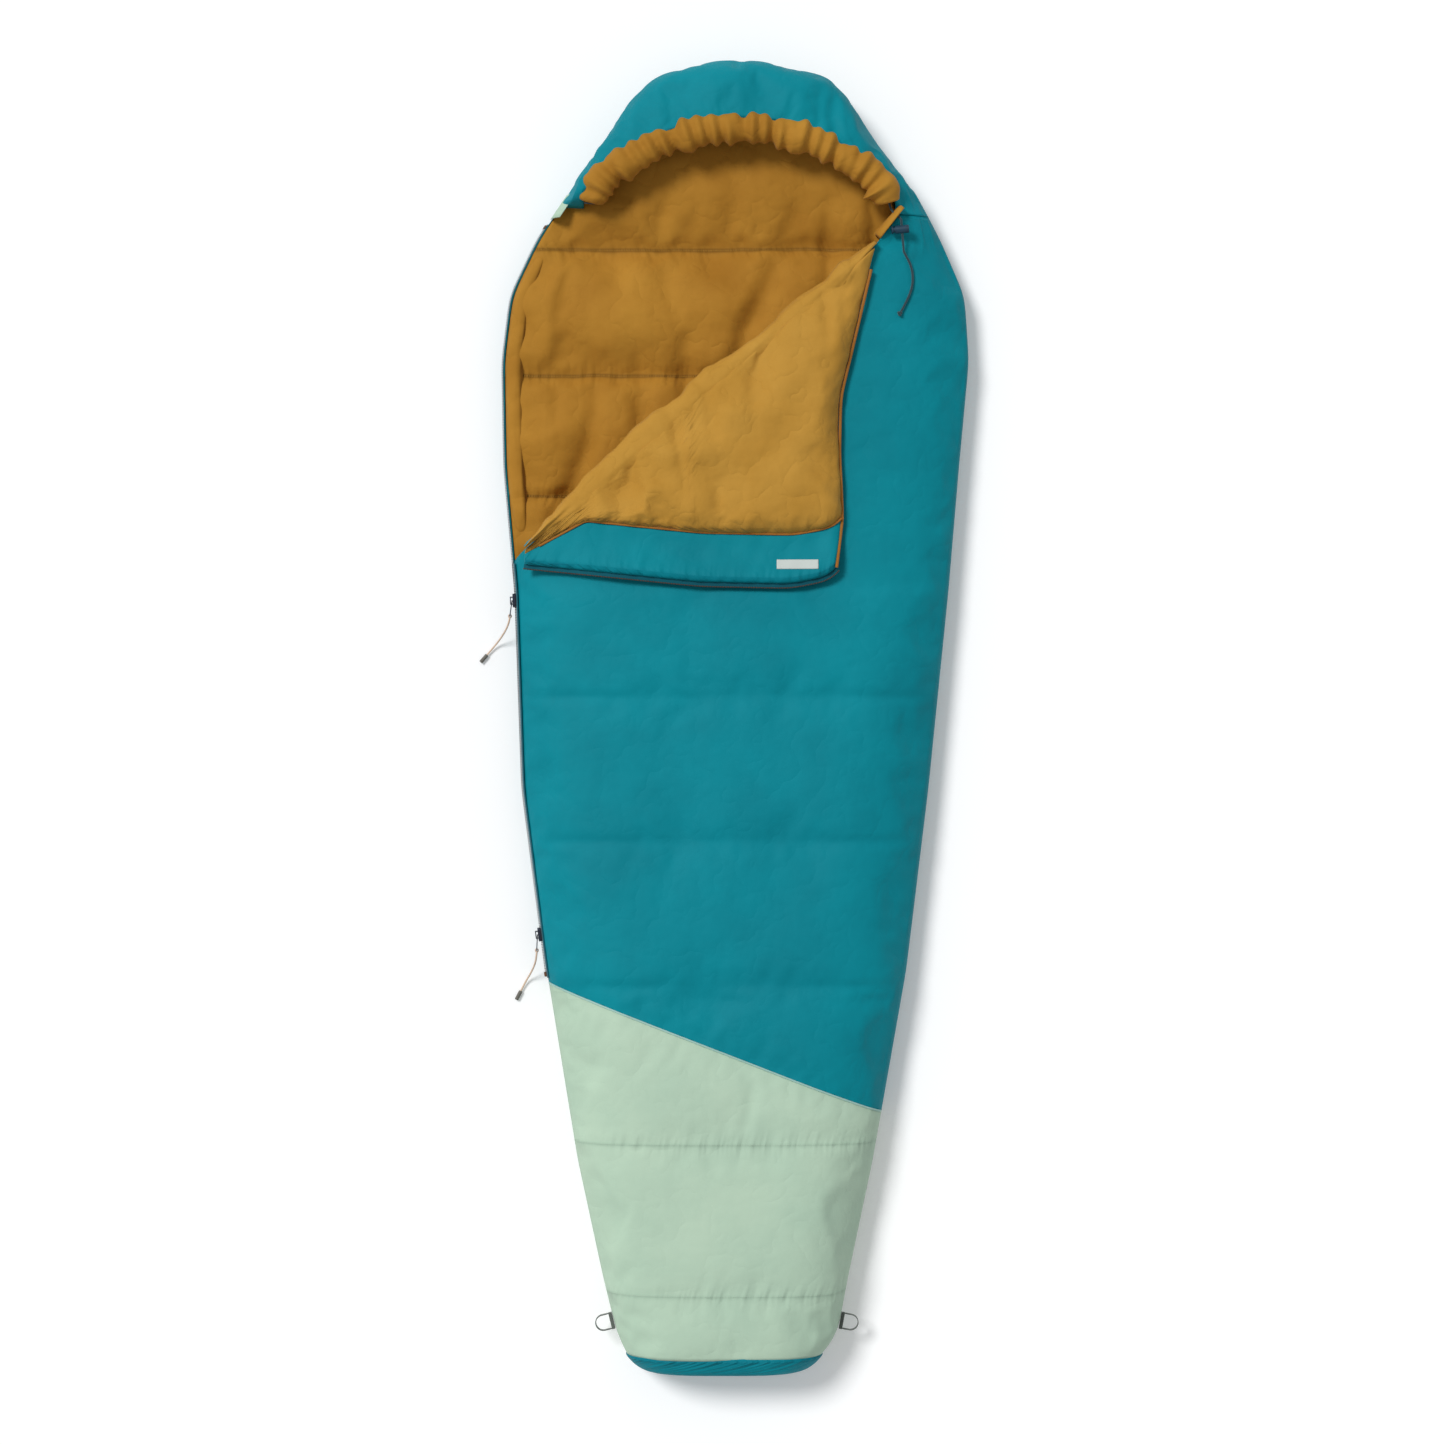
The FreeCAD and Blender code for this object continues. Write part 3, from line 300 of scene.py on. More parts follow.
sewn, g_in, g_out = start_group(
    "sewn line",
    [("Vector", VECTOR, None), ("Distance", FLOAT, 1.0), ("Pitch", FLOAT, 0.004), ("Reach", FLOAT, 0.035)],
    [("Thread", FLOAT), ("Pucker", FLOAT), ("Shade", FLOAT)])
split = sewn.nodes.new("ShaderNodeSeparateXYZ")
sewn.links.new(g_in.outputs["Vector"], split.inputs[0])
near = math_node(sewn, "LESS_THAN", g_in.outputs["Distance"], 0.0009)
phase = math_node(sewn, "DIVIDE", split.outputs[0], g_in.outputs["Pitch"])
dash = math_node(sewn, "GREATER_THAN", math_node(sewn, "FRACT", phase), 0.35)
sewn.links.new(math_node(sewn, "MULTIPLY", near, dash), g_out.inputs["Thread"])
pulled = noise_node(sewn, scaled(sewn, g_in.outputs["Vector"], (70.0, 9.0, 1.0)), 1.0, 1.0, 0.4)
fade = math_node(sewn, "SUBTRACT", 1.0, math_node(
    sewn, "DIVIDE", g_in.outputs["Distance"], g_in.outputs["Reach"], clamp=True))
fade = math_node(sewn, "POWER", fade, 2.0)
sewn.links.new(math_node(sewn, "MULTIPLY", pulled, fade), g_out.inputs["Pucker"])
# Shade is a mask of painted shade along the sewn line, darkest at the line itself.
sewn.links.new(math_node(sewn, "POWER", fade, 8.0), g_out.inputs["Shade"])
print("shader groups", [g.name for g in bpy.data.node_groups])


# %% [markdown]
# One function makes every cloth. The weave follows the piece's own UV map, laid out in
# metres, so the threads keep their size on every piece. "seam" is an attribute that holds
# each point's distance to the nearest sewn line: the thread, the puckers and the painted
# shade that darkens the crease all come from it.

# %% Cloth material
CLOTH_SHINE = 0.12
WRINKLE_DEPTH = 0.012
PUCKER_DEPTH = 0.010


def linear(red, green, blue):
    """A colour given as 0-255 display values, as the shader wants it."""
    def of_one(c):
        return ((c / 255 + 0.055) / 1.055) ** 2.4 if c > 10 else c / 255 / 12.92
    return of_one(red), of_one(green), of_one(blue), 1.0


def start_material(name):
    material = bpy.data.materials.new(name)
    material.use_nodes = True
    tree = material.node_tree
    return material, tree, tree.nodes["Principled BSDF"]


def place_group(tree, group, **values):
    node = tree.nodes.new("ShaderNodeGroup")
    node.node_tree = group
    for label, value in values.items():
        if hasattr(value, "is_output"):
            tree.links.new(value, node.inputs[label])
        else:
            node.inputs[label].default_value = value
    return node


def bump_node(tree, height, distance, strength, normal=None):
    node = tree.nodes.new("ShaderNodeBump")
    node.inputs["Distance"].default_value = distance
    node.inputs["Strength"].default_value = strength
    tree.links.new(height, node.inputs["Height"])
    if normal is not None:
        tree.links.new(normal, node.inputs["Normal"])
    return node.outputs[0]


def mix_colour(tree, factor, a, b, blend="MIX"):
    node = tree.nodes.new("ShaderNodeMix")
    node.data_type = "RGBA"
    node.blend_type = blend
    for label, value in (("Factor", factor), ("A", a), ("B", b)):
        socket = node.inputs[label]
        if hasattr(value, "is_output"):
            tree.links.new(value, socket)
        else:
            socket.default_value = value
    return node.outputs["Result"]


def uneven_gloss(tree, shader, height, swing, level):
    """Roughness that follows a relief: level, plus swing times its height."""
    rough = math_node(tree, "MULTIPLY_ADD", height, swing)
    rough.node.inputs[2].default_value = level
    tree.links.new(rough, shader.inputs["Roughness"])


def cloth(name, colour, shade, thread, sheen=0.25, roughness=0.6, crease=None, wrinkle=0.5):
    """Woven cloth with drifting colour, wrinkles and sewn lines, with painted shade along the lines."""
    material, tree, shader = start_material(name)
    shader.inputs["Sheen Weight"].default_value = sheen
    shader.inputs["Sheen Roughness"].default_value = 0.45
    shader.inputs["Specular IOR Level"].default_value = CLOTH_SHINE
    where = tree.nodes.new("ShaderNodeTexCoord")
    uv = tree.nodes.new("ShaderNodeUVMap")
    uv.uv_map = "UVMap"
    seam = tree.nodes.new("ShaderNodeAttribute")
    seam.attribute_name = "seam"
    base = place_group(tree, drift, Vector=where.outputs["Object"], Colour=linear(*colour),
                       Shade=linear(*shade), Scale=7.0).outputs[0]
    line = place_group(tree, sewn, Vector=uv.outputs[0], Distance=seam.outputs["Fac"])
    # crease, or a darker copy of shade, is the colour of the painted shade along each sewn line.
    dark = crease or tuple(c * 0.35 for c in shade)
    colour_out = mix_colour(tree, line.outputs["Shade"], base, linear(*dark))
    light = tuple(min(255, c * 0.92 + 6) for c in colour)
    colour_out = mix_colour(tree, line.outputs["Thread"], colour_out, linear(*light))
    tree.links.new(colour_out, shader.inputs["Base Color"])
    folds = place_group(tree, wrinkles, Vector=where.outputs["Object"], Scale=16.0)
    fine = place_group(tree, weave, Vector=uv.outputs[0], Thread=thread)
    normal = bump_node(tree, folds.outputs[0], WRINKLE_DEPTH, wrinkle)
    normal = bump_node(tree, line.outputs["Pucker"], PUCKER_DEPTH, 0.8, normal)
    normal = bump_node(tree, fine.outputs[0], thread * 0.25, 0.5, normal)
    tree.links.new(normal, shader.inputs["Normal"])
    uneven_gloss(tree, shader, fine.outputs[0], 0.08, roughness)
    return material


SHELL_THREAD = 0.0009
LINING_THREAD = 0.0007
TRIM_THREAD = 0.0008
# Each crease colour below is the painted shade drawn along that cloth's sewn lines.
teal = cloth("teal ripstop shell", (0, 137, 151), (0, 125, 139), SHELL_THREAD, 0.0,
             crease=(0, 100, 118), wrinkle=0.22)
mint = cloth("mint ripstop shell", (184, 208, 185), (174, 200, 178), SHELL_THREAD, 0.02,
             crease=(156, 184, 162), wrinkle=0.22)
gold = cloth("gold soft lining", (180, 129, 46), (160, 110, 34), LINING_THREAD, 0.04, 0.7,
             (52, 26, 4), wrinkle=0.4)
# The flap's lining is the same gold cloth as the rest, painted lighter as a highlight where the flap and its
# fold roll face the lamp; its crease colour is painted shade along its sewn lines.
gold_painted_lit = cloth("gold lining painted lighter as lit", (190, 143, 60), (178, 130, 48), LINING_THREAD,
                   0.06, 0.7, (120, 76, 24))
piping_cloth = cloth("pale piping", (170, 205, 195), (150, 190, 180), TRIM_THREAD, wrinkle=0.1)
binding_cloth = cloth("orange binding", (170, 112, 44), (152, 96, 34), TRIM_THREAD, wrinkle=0.15)
tape_cloth = cloth("dark teal zip tape", (0, 92, 106), (0, 80, 94), 0.0012, wrinkle=0.05)
label_cloth = cloth("pale blank label", (205, 212, 208), (196, 204, 200), 0.0006, wrinkle=0.05)
print("materials, with the cloths:", len(bpy.data.materials))

# %% [markdown]
# The hard parts are small, so their finishes are simple: a slow drift of colour, a fine grain
# and a gloss that isn't quite even. Cord and webbing get two slanting sets of ridges instead,
# which cross like the strands of a braid, with painted shade in the grooves between them.

# %% Small hard finishes
GRAIN_RELIEF = 0.0002
STRAND = 0.0011


def hard(name, colour, shade, roughness, metallic=0.0, coat=0.0, grain=400.0):
    """Moulded, painted or metal finish with a fine grain and slightly uneven gloss."""
    material, tree, shader = start_material(name)
    shader.inputs["Metallic"].default_value = metallic
    shader.inputs["Coat Weight"].default_value = coat
    where = tree.nodes.new("ShaderNodeTexCoord").outputs["Object"]
    base = place_group(tree, drift, Vector=where, Colour=linear(*colour), Shade=linear(*shade), Scale=60.0)
    tree.links.new(base.outputs[0], shader.inputs["Base Color"])
    speckle = noise_node(tree, where, grain, 2.0)
    tree.links.new(bump_node(tree, speckle, GRAIN_RELIEF, 0.3), shader.inputs["Normal"])
    uneven_gloss(tree, shader, speckle, 0.15, roughness - 0.07)
    return material


def braided(name, colour, shade, strand):
    """Braided or webbed finish: two slanting sets of ridges crossing each other, with painted shade in the
    grooves.
    """
    material, tree, shader = start_material(name)
    shader.inputs["Sheen Weight"].default_value = 0.3
    where = tree.nodes.new("ShaderNodeTexCoord").outputs["Object"]
    ridges = []
    for tilt in ((1.0, 1.0, 0.6), (1.0, -1.0, 0.6)):
        wave = tree.nodes.new("ShaderNodeTexWave")
        wave.bands_direction = "DIAGONAL"
        wave.inputs["Scale"].default_value = 0.32 / strand
        tree.links.new(scaled(tree, where, tilt), wave.inputs["Vector"])
        ridges.append(wave.outputs["Fac"])
    cross = math_node(tree, "MAXIMUM", *ridges)
    # The grooves between the ridges take the shade colour: painted shade in the recesses of the braid.
    tree.links.new(mix_colour(tree, cross, linear(*shade), linear(*colour)), shader.inputs["Base Color"])
    tree.links.new(bump_node(tree, cross, strand * 0.3, 0.7), shader.inputs["Normal"])
    uneven_gloss(tree, shader, cross, -0.12, 0.85)
    return material


enamel = hard("dark enamelled metal", (14, 30, 52), (8, 20, 38), 0.35, 0.3, 0.4, 700.0)
coil_plastic = hard("brown nylon coil", (104, 62, 24), (84, 48, 18), 0.5)
side_coil_plastic = hard("dark nylon coil", (22, 52, 56), (16, 42, 46), 0.5)
lock_plastic = hard("dark moulded plastic", (20, 62, 84), (12, 48, 68), 0.45)
grip_rubber = hard("grey moulded grip", (112, 108, 100), (98, 95, 88), 0.7)
spring_steel = hard("spring steel", (190, 190, 188), (165, 165, 165), 0.3, 1.0)
cord_braid = braided("braided pull cord", (232, 204, 180), (196, 166, 142), STRAND)
drawcord_braid = braided("dark braided drawcord", (26, 62, 70), (14, 44, 52), STRAND)
webbing = braided("grey webbing", (98, 104, 98), (70, 76, 72), 0.0012)
print("materials", len(bpy.data.materials))

# %% [markdown]
# Every sheet needs the bag's outline. It's read from the frame by casting level rays at the
# side seam, then rounded a little, because sewn cloth has no sharp corners. The crown is the
# height of the middle of the bag, and between crown and seam the section is a flat-topped
# arch, which is how a filled tube lies on the ground.

# %% Outline and section
seam_z = (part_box("bottom_lining")[1].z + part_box("top_lining")[0].z) / 2
foot_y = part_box("foot_end_panel")[0].y
head_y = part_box("hood_shell")[1].y
PANEL_FOOT = foot_y + 0.028  # where the foot end panel is sewn on
HOOD_SEAM = foot_y + 1.850
STEP = 0.005


def tree_of(*objects):
    """Search tree of the objects' faces, to cast rays at."""
    verts, faces = [], []
    for obj in objects:
        base = len(verts)
        verts += [v.co.copy() for v in obj.data.vertices]
        faces += [[base + i for i in p.vertices] for p in obj.data.polygons]
    return BVHTree.FromPolygons(verts, faces)


def smooth(values, spacing, sigma):
    """Gaussian smoothing of evenly spaced rows, with the ends held."""
    values = np.asarray(values, float)
    reach = int(3 * sigma / spacing) + 1
    kernel = np.exp(-0.5 * (np.arange(-reach, reach + 1) * spacing / sigma) ** 2)
    kernel /= kernel.sum()
    first = 2 * values[:1] - values[1:reach + 1][::-1]
    last = 2 * values[-1:] - values[-reach - 1:-1][::-1]
    padded = np.concatenate([first, values, last])
    if values.ndim == 1:
        return np.convolve(padded, kernel, "valid")
    return np.stack([np.convolve(column, kernel, "valid") for column in padded.T], axis=1)


def resampled(points, spacing):
    """The same line with points an even distance apart."""
    points = np.asarray(points, float)
    length = np.concatenate([[0], np.cumsum(np.linalg.norm(np.diff(points, axis=0), axis=1))])
    count = max(2, int(round(length[-1] / spacing)) + 1)
    at = np.linspace(0, length[-1], count)
    return np.stack([np.interp(at, length, column) for column in points.T], axis=1)


UNDER_SEAM = 0.002  # rays meet the wall this far below the seam
CORNER_ROUNDING = 0.014
side_walls = tree_of(nodes["bottom_shell"], nodes["foot_bottom_shell"])
cast_ys = np.append(np.arange(PANEL_FOOT + 0.0005, head_y - 0.001, STEP), head_y - 0.0008)
half_rings = {}
for side in (-1, 1):
    inwards = Vector((-side, 0, 0))
    hits = [side_walls.ray_cast(Vector((side, y, seam_z - UNDER_SEAM)), inwards)[0] for y in cast_ys]
    half_rings[side] = [(h.x, h.y) for h in hits]
ring = resampled(half_rings[-1] + half_rings[1][::-1], STEP)
ring = smooth(ring, STEP, CORNER_ROUNDING)
top_index = int(np.argmax(ring[:, 1]))
left_ring, right_ring = ring[:top_index + 1], ring[top_index:][::-1]


def side_x(y, side):
    line = left_ring if side < 0 else right_ring
    return np.interp(y, line[:, 1], line[:, 0])


def across_at(y, inset=0):
    """Middle and half width of the outline at y, less an inset on each side."""
    left, right = side_x(y, -1) + inset, side_x(y, 1) - inset
    return (left + right) / 2, (right - left) / 2


CROWN = (
    (0.00, 0.128), (0.15, 0.134), (0.34, 0.130), (0.64, 0.120), (0.935, 0.112),
    (1.25, 0.105), (1.815, 0.105), (1.88, 0.120), (1.97, 0.140), (2.10, 0.140),
)
crown_ys = np.arange(0, 2.1, STEP)
crown_line = smooth(np.interp(crown_ys, *zip(*CROWN)), STEP, 0.05)


def crown(y):
    return np.interp(np.asarray(y) - foot_y, crown_ys, crown_line)


def share_across(x, y):
    """Place across the bag, -1 at its left seam and 1 at its right."""
    middle, half = across_at(y)
    return np.clip((x - middle) / np.maximum(half, 0.001), -1, 1)


def shell_z(x, y):
    """Height of the top shell."""
    return seam_z + (crown(y) - seam_z) * np.sqrt(1 - share_across(x, y) ** 4)


print("outline", len(ring), "points; seam at", round(seam_z, 4))

# %% [markdown]
# The helpers below turn rows of points into cloth. A sheet gets its UV map from real lengths
# in metres, and its face side is turned the way it should show. A padded form is two such
# sheets joined round the edge. Sheets are thickened at the very end, so that they are never
# paper-thin.

# %% Sheets and padded forms
CLOTH_THICKNESS = 0.0008
THIN_CLOTH = 0.0006
MEETING = 0.0001  # points this near are one point
BLOWING_FRAMES = 16


def deselect():
    for o in bpy.context.selected_objects:
        o.select_set(False)


def apply_modifier(obj, modifier):
    deselect()
    obj.select_set(True)
    bpy.context.view_layer.objects.active = obj
    bpy.ops.object.modifier_apply(modifier=modifier.name)


def unit(vectors):
    """The same vectors at length 1."""
    return vectors / np.linalg.norm(vectors, axis=-1, keepdims=True)


def lengths_across(points):
    """Distance along each row from its last column, in metres."""
    steps = np.linalg.norm(np.diff(points, axis=1), axis=2)
    total = np.cumsum(steps[:, ::-1], axis=1)[:, ::-1]
    return np.concatenate([-total, np.zeros((len(points), 1))], axis=1)


def lengths_down(points):
    steps = np.linalg.norm(np.diff(points, axis=0), axis=2)
    return np.concatenate([np.zeros((1, points.shape[1])), np.cumsum(steps, axis=0)])


def metric_uv(points):
    return np.stack([lengths_across(points), lengths_down(points)], axis=2).reshape(-1, 2)


def grid_faces(rows, columns, offset=0, flip=False):
    i = np.arange(rows * columns).reshape(rows, columns) + offset
    quads = np.stack([i[:-1, :-1], i[:-1, 1:], i[1:, 1:], i[1:, :-1]], axis=-1).reshape(-1, 4)
    return quads[:, ::-1] if flip else quads


def new_mesh(name, points, faces, uv, seam):
    mesh = bpy.data.meshes.new(name)
    mesh.from_pydata([tuple(p) for p in points], [], [tuple(int(i) for i in f) for f in faces])
    layer = mesh.uv_layers.new(name="UVMap")
    corners = np.empty(len(mesh.loops), dtype=np.int32)
    mesh.loops.foreach_get("vertex_index", corners)
    layer.data.foreach_set("uv", np.asarray(uv, np.float32)[corners].ravel())
    distance = mesh.attributes.new("seam", "FLOAT", "POINT")
    distance.data.foreach_set("value", np.asarray(seam, np.float32))
    for polygon in mesh.polygons:
        polygon.use_smooth = True
    obj = bpy.data.objects.new(name, mesh)
    bpy.context.collection.objects.link(obj)
    return obj


def sheet(name, points, seam=1.0, down=False, closed=False):
    """Cloth through rows of points; down turns its face side to the ground."""
    points = np.asarray(points, float)
    rows, columns = points.shape[:2]
    seam = np.broadcast_to(seam, (rows, columns)).reshape(-1)
    a = points[1:, :-1] - points[:-1, :-1]
    b = points[:-1, 1:] - points[:-1, :-1]
    flip = (np.cross(b, a)[..., 2].sum() < 0) != down
    faces = grid_faces(rows, columns, 0, flip)
    obj = new_mesh(name, points.reshape(-1, 3), faces, metric_uv(points), seam)
    if closed:
        close_up(obj)
    return obj


def close_up(obj):
    """Merge points that meet, close open ends and turn every face outwards."""
    bm = bmesh.new()
    bm.from_mesh(obj.data)
    bmesh.ops.remove_doubles(bm, verts=bm.verts, dist=MEETING)
    bmesh.ops.holes_fill(bm, edges=[e for e in bm.edges if e.is_boundary], sides=0)
    bmesh.ops.recalc_face_normals(bm, faces=bm.faces)
    for face in bm.faces:
        face.smooth = True
    bm.to_mesh(obj.data)
    bm.free()


def pillow(name, top, bottom, seam):
    """Closed padded form from a top and a bottom sheet of the same grid."""
    rows, columns = top.shape[:2]
    count = rows * columns
    index = np.arange(count).reshape(rows, columns)
    rim = np.concatenate([index[0, :-1], index[:-1, -1], index[-1, :0:-1], index[:0:-1, 0]])
    walls = [(a, b, b + count, a + count) for a, b in zip(rim, np.roll(rim, -1))]
    faces = np.concatenate([grid_faces(rows, columns), grid_faces(rows, columns, count, True), walls])
    points = np.concatenate([top.reshape(-1, 3), bottom.reshape(-1, 3)])
    values = np.concatenate([seam.reshape(-1), np.ones(count)])
    obj = new_mesh(name, points, faces, np.tile(metric_uv(top), (2, 1)), values)
    close_up(obj)
    return obj


def coordinates(obj):
    co = np.empty(len(obj.data.vertices) * 3)
    obj.data.vertices.foreach_get("co", co)
    return co.reshape(-1, 3)


def set_coordinates(obj, co):
    obj.data.vertices.foreach_set("co", np.asarray(co, np.float32).ravel())
    obj.data.update()


def subdivide(obj):
    modifier = obj.modifiers.new("Subdivision", "SUBSURF")
    modifier.levels = modifier.render_levels = 1
    modifier.boundary_smooth = "PRESERVE_CORNERS"
    apply_modifier(obj, modifier)


def thicken(obj, thickness):
    modifier = obj.modifiers.new("Solidify", "SOLIDIFY")
    modifier.thickness = thickness
    modifier.offset = -1
    apply_modifier(obj, modifier)


def held_points(shape, rows, columns, also=False):
    """Numbers of a grid's points on these rows and columns, and wherever also is true."""
    held = np.broadcast_to(also, shape).copy()
    held[list(rows)] = True
    held[:, list(columns)] = True
    return np.flatnonzero(held)


def inflate(obj, held, pressure, cap, slack, bending=0.4):
    """Blow cloth up a little by simulation, with the held points fixed, and keep the result.
    slack lets the cloth grow first, so that it wrinkles between its seams."""
    before = coordinates(obj)
    group = obj.vertex_groups.new(name="held")
    group.add([int(i) for i in held], 1.0, "REPLACE")
    modifier = obj.modifiers.new("Cloth", "CLOTH")
    cloth_settings = modifier.settings
    cloth_settings.quality = 5
    cloth_settings.mass = 0.2
    cloth_settings.tension_stiffness = cloth_settings.compression_stiffness = 15
    cloth_settings.shear_stiffness = 5
    cloth_settings.bending_stiffness = bending
    cloth_settings.vertex_group_mass = "held"
    cloth_settings.shrink_min = cloth_settings.shrink_max = -slack
    cloth_settings.use_pressure = True
    cloth_settings.uniform_pressure_force = pressure
    cloth_settings.effector_weights.gravity = 0
    modifier.collision_settings.use_collision = False
    modifier.point_cache.frame_end = BLOWING_FRAMES
    for step in range(1, BLOWING_FRAMES + 1):
        bpy.context.scene.frame_set(step)
    apply_modifier(obj, modifier)
    bpy.context.scene.frame_set(1)
    obj.vertex_groups.clear()
    moved = coordinates(obj) - before
    size = np.linalg.norm(moved, axis=1, keepdims=True)
    moved *= cap * np.tanh(size / cap) / np.maximum(size, 1e-9)
    set_coordinates(obj, before + moved)
    print(obj.name, "inflated by up to", round(float(size.max()) * 1000, 1), "mm")


def rows_between(marks, spacing):
    """Row places that fall on every mark, an even spacing apart in between; and the marks' rows."""
    rows, at = [marks[0]], [0]
    for a, b in zip(marks, marks[1:]):
        count = max(1, int(round((b - a) / spacing)))
        rows += list(np.linspace(a, b, count + 1)[1:])
        at.append(len(rows) - 1)
    return np.array(rows), at


def line_distance(ys, lines):
    """Distance from each y to the nearest of the lines."""
    return np.abs(np.asarray(ys)[:, None] - np.asarray(lines)[None, :]).min(axis=1)


def waves(x, y, seed, size, count=24):
    """Smooth lumpy relief, about -1 to 1, made of waves near one size."""
    random = np.random.default_rng(seed)
    total = np.zeros(np.broadcast(x, y).shape)
    for _ in range(count):
        angle, phase = random.uniform(0, math.pi), random.uniform(0, 2 * math.pi)
        wave = 2 * math.pi / (size * random.uniform(0.7, 1.6))
        total += np.sin(wave * (x * math.cos(angle) + y * math.sin(angle)) + phase)
    return total / math.sqrt(count / 2) / 2


def dress(obj, material, body="bag", replaces=(), smoother=False, thickness=0):
    """Finish a piece: smooth and thicken it where asked, then give it its material and its body,
    and hide the nodes that it stands for."""
    if smoother:
        subdivide(obj)
    if thickness:
        thicken(obj, thickness)
    obj.data.materials.clear()
    obj.data.materials.append(material)
    if body:
        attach(obj, body)
    if replaces:
        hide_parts(*replaces)
    kind = f"{len(obj.data.polygons)} faces" if obj.type == "MESH" else "one curve"
    print(obj.name, "is", kind, "of", material.name, "on", body or "two bodies")
    return obj


# %% [markdown]
# The slanting seam near the foot divides the teal cloth from the mint. Both covers are
# modelled whole, so that the cloth runs smoothly through, and are then bisected along the
# seam into two pieces each.

# %% Foot seam
FOOT_SEAM = ((-0.291, 0.619), (0.230, 0.418))
seam_a, seam_b = (Vector((x, y + foot_y, 0)) for x, y in FOOT_SEAM)
seam_run = (seam_b - seam_a).normalized()
seam_headward = Vector((-seam_run.y, seam_run.x, 0))


def split_at_seam(obj, foot_name):
    """Cut obj along the foot seam; obj keeps the head side, a copy takes the foot side."""
    other = obj.copy()
    other.data = obj.data.copy()
    other.name = other.data.name = foot_name
    bpy.context.collection.objects.link(other)
    for piece, inner in ((obj, True), (other, False)):
        bm = bmesh.new()
        bm.from_mesh(piece.data)
        bmesh.ops.bisect_plane(
            bm, geom=list(bm.verts) + list(bm.edges) + list(bm.faces), plane_co=seam_a,
            plane_no=seam_headward, clear_inner=inner, clear_outer=not inner)
        bm.to_mesh(piece.data)
        bm.free()
    return other


def beyond_seam(points):
    """Distance from the foot seam on the plan, above 0 on its head side."""
    return (points[..., 0] - seam_a.x) * seam_headward.x + (points[..., 1] - seam_a.y) * seam_headward.y


print("foot seam is", round((seam_b - seam_a).length, 3), "m long")

# %% [markdown]
# The fold line comes from the flap's own hinge. Everything that ends at the fold, on either
# side, is laid out from it, so the cloth meets at the fold whatever the pose.

# %% Fold line
FOLD_LENGTH = 0.739
fold_joint = joints["flap_fold"]
fold_axis = Vector(fold_joint["axis"]).normalized()
fold_start = Vector(fold_joint["pos_m"])
fold_end = fold_start + fold_axis * FOLD_LENGTH
fold_out = Vector((fold_axis.y, -fold_axis.x, 0))
if fold_out.y > 0:
    fold_out = -fold_out
headward = Vector((-fold_out.x, -fold_out.y, 0))
NECK_EDGE = Vector((0.267, foot_y + 1.858, 0))


def open_edge_x(y):
    """Left edge of the top panel: the outline, then the fold line, then the neck edge."""
    slope = fold_axis.x / fold_axis.y
    fold = fold_start.x + (y - fold_start.y) * slope
    neck = fold_start.x + (y - fold_start.y) * (NECK_EDGE.x - fold_start.x) / (NECK_EDGE.y - fold_start.y)
    return np.maximum(side_x(y, -1), np.where(y < fold_start.y, fold, neck))


print("fold runs", [round(c, 3) for c in fold_start], "to", [round(c, 3) for c in fold_end])

# %% [markdown]
# The top panel is the largest cloth. Its columns crowd towards the side seams, where it turns
# down steeply. The batting is held by sewn lines across it, nearly hidden on the teal and
# plain on the mint. The panel is pinned along its edges and lines, then inflated as cloth.

# %% Top panel
TOP_LINES = (0.130, 0.370, 0.620, 0.850, 1.080)
TOP_COLUMNS = 71
TOP_SPACING = 0.011
SEWN_DIP, TEAL_DIP = 0.0045, 0.0022  # depth of a sewn line, and of one drawn lightly into the teal
DIP_REACH = 0.022
SHORT_OF_FOLD = 0.019  # a row this far footward of the fold's low end
PRESSED_TO = 1.258  # the flap lies on the cover from here headward
UNDER_FLAP, FLAP_RIGHT = 1.27, 0.17  # where the cover is held flat below the flap
SEAM_HOLD = 0.007
SHOULDER, SHOULDER_SPREAD, SHOULDER_DIP = (0.262, 0.755), (0.05, 0.09), 0.003
table_t = np.linspace(-1, 1, 401)
table_u = 0.35 * table_t + 0.65 * np.sin(table_t * math.pi / 2)

marks = [PANEL_FOOT, *(foot_y + y for y in TOP_LINES), fold_end.y - SHORT_OF_FOLD, fold_start.y, HOOD_SEAM]
row_ys, mark_rows = rows_between(marks, TOP_SPACING)
top_points = np.zeros((len(row_ys), TOP_COLUMNS, 3))
for i, y in enumerate(row_ys):
    middle, half = across_at(y)
    first = (open_edge_x(y) - middle) / half
    t = np.linspace(np.interp(first, table_u, table_t), 1, TOP_COLUMNS)
    x = middle + np.interp(t, table_t, table_u) * half
    top_points[i] = np.stack([x, np.full_like(x, y), shell_z(x, y)], axis=1)
top_x, top_y = top_points[..., 0], top_points[..., 1]

sewn_rows = mark_rows[1:1 + len(TOP_LINES)]
line_d = line_distance(row_ys, [row_ys[i] for i in sewn_rows])[:, None]
past_seam = beyond_seam(top_points)
foot_seam_d = np.abs(past_seam)
nearest = np.minimum(line_d, foot_seam_d)
edge_fade = np.sqrt(np.clip(1 - np.abs(share_across(top_x, top_y)) ** 6, 0, 1))
lightly_sewn = (line_d < foot_seam_d) & (top_y > foot_y + 0.6)
puff = -np.where(lightly_sewn, TEAL_DIP, SEWN_DIP) * np.exp(-nearest / DIP_REACH)
puff += 0.0018 * waves(top_x, top_y * 0.6, 3, 0.16)
fold_d = (top_x - fold_start.x) * fold_out.x + (top_y - fold_start.y) * fold_out.y
crease = np.exp(-np.clip(fold_d, 0, None) / 0.06) * 0.004
crease *= waves(top_x * 0.5, top_y, 9, 0.09)
under_flap = np.clip(fold_d / 0.02, 0, 1)
top_points[..., 2] += (puff + crease * under_flap) * edge_fade
shoulder_x = (top_x - SHOULDER[0]) / SHOULDER_SPREAD[0]
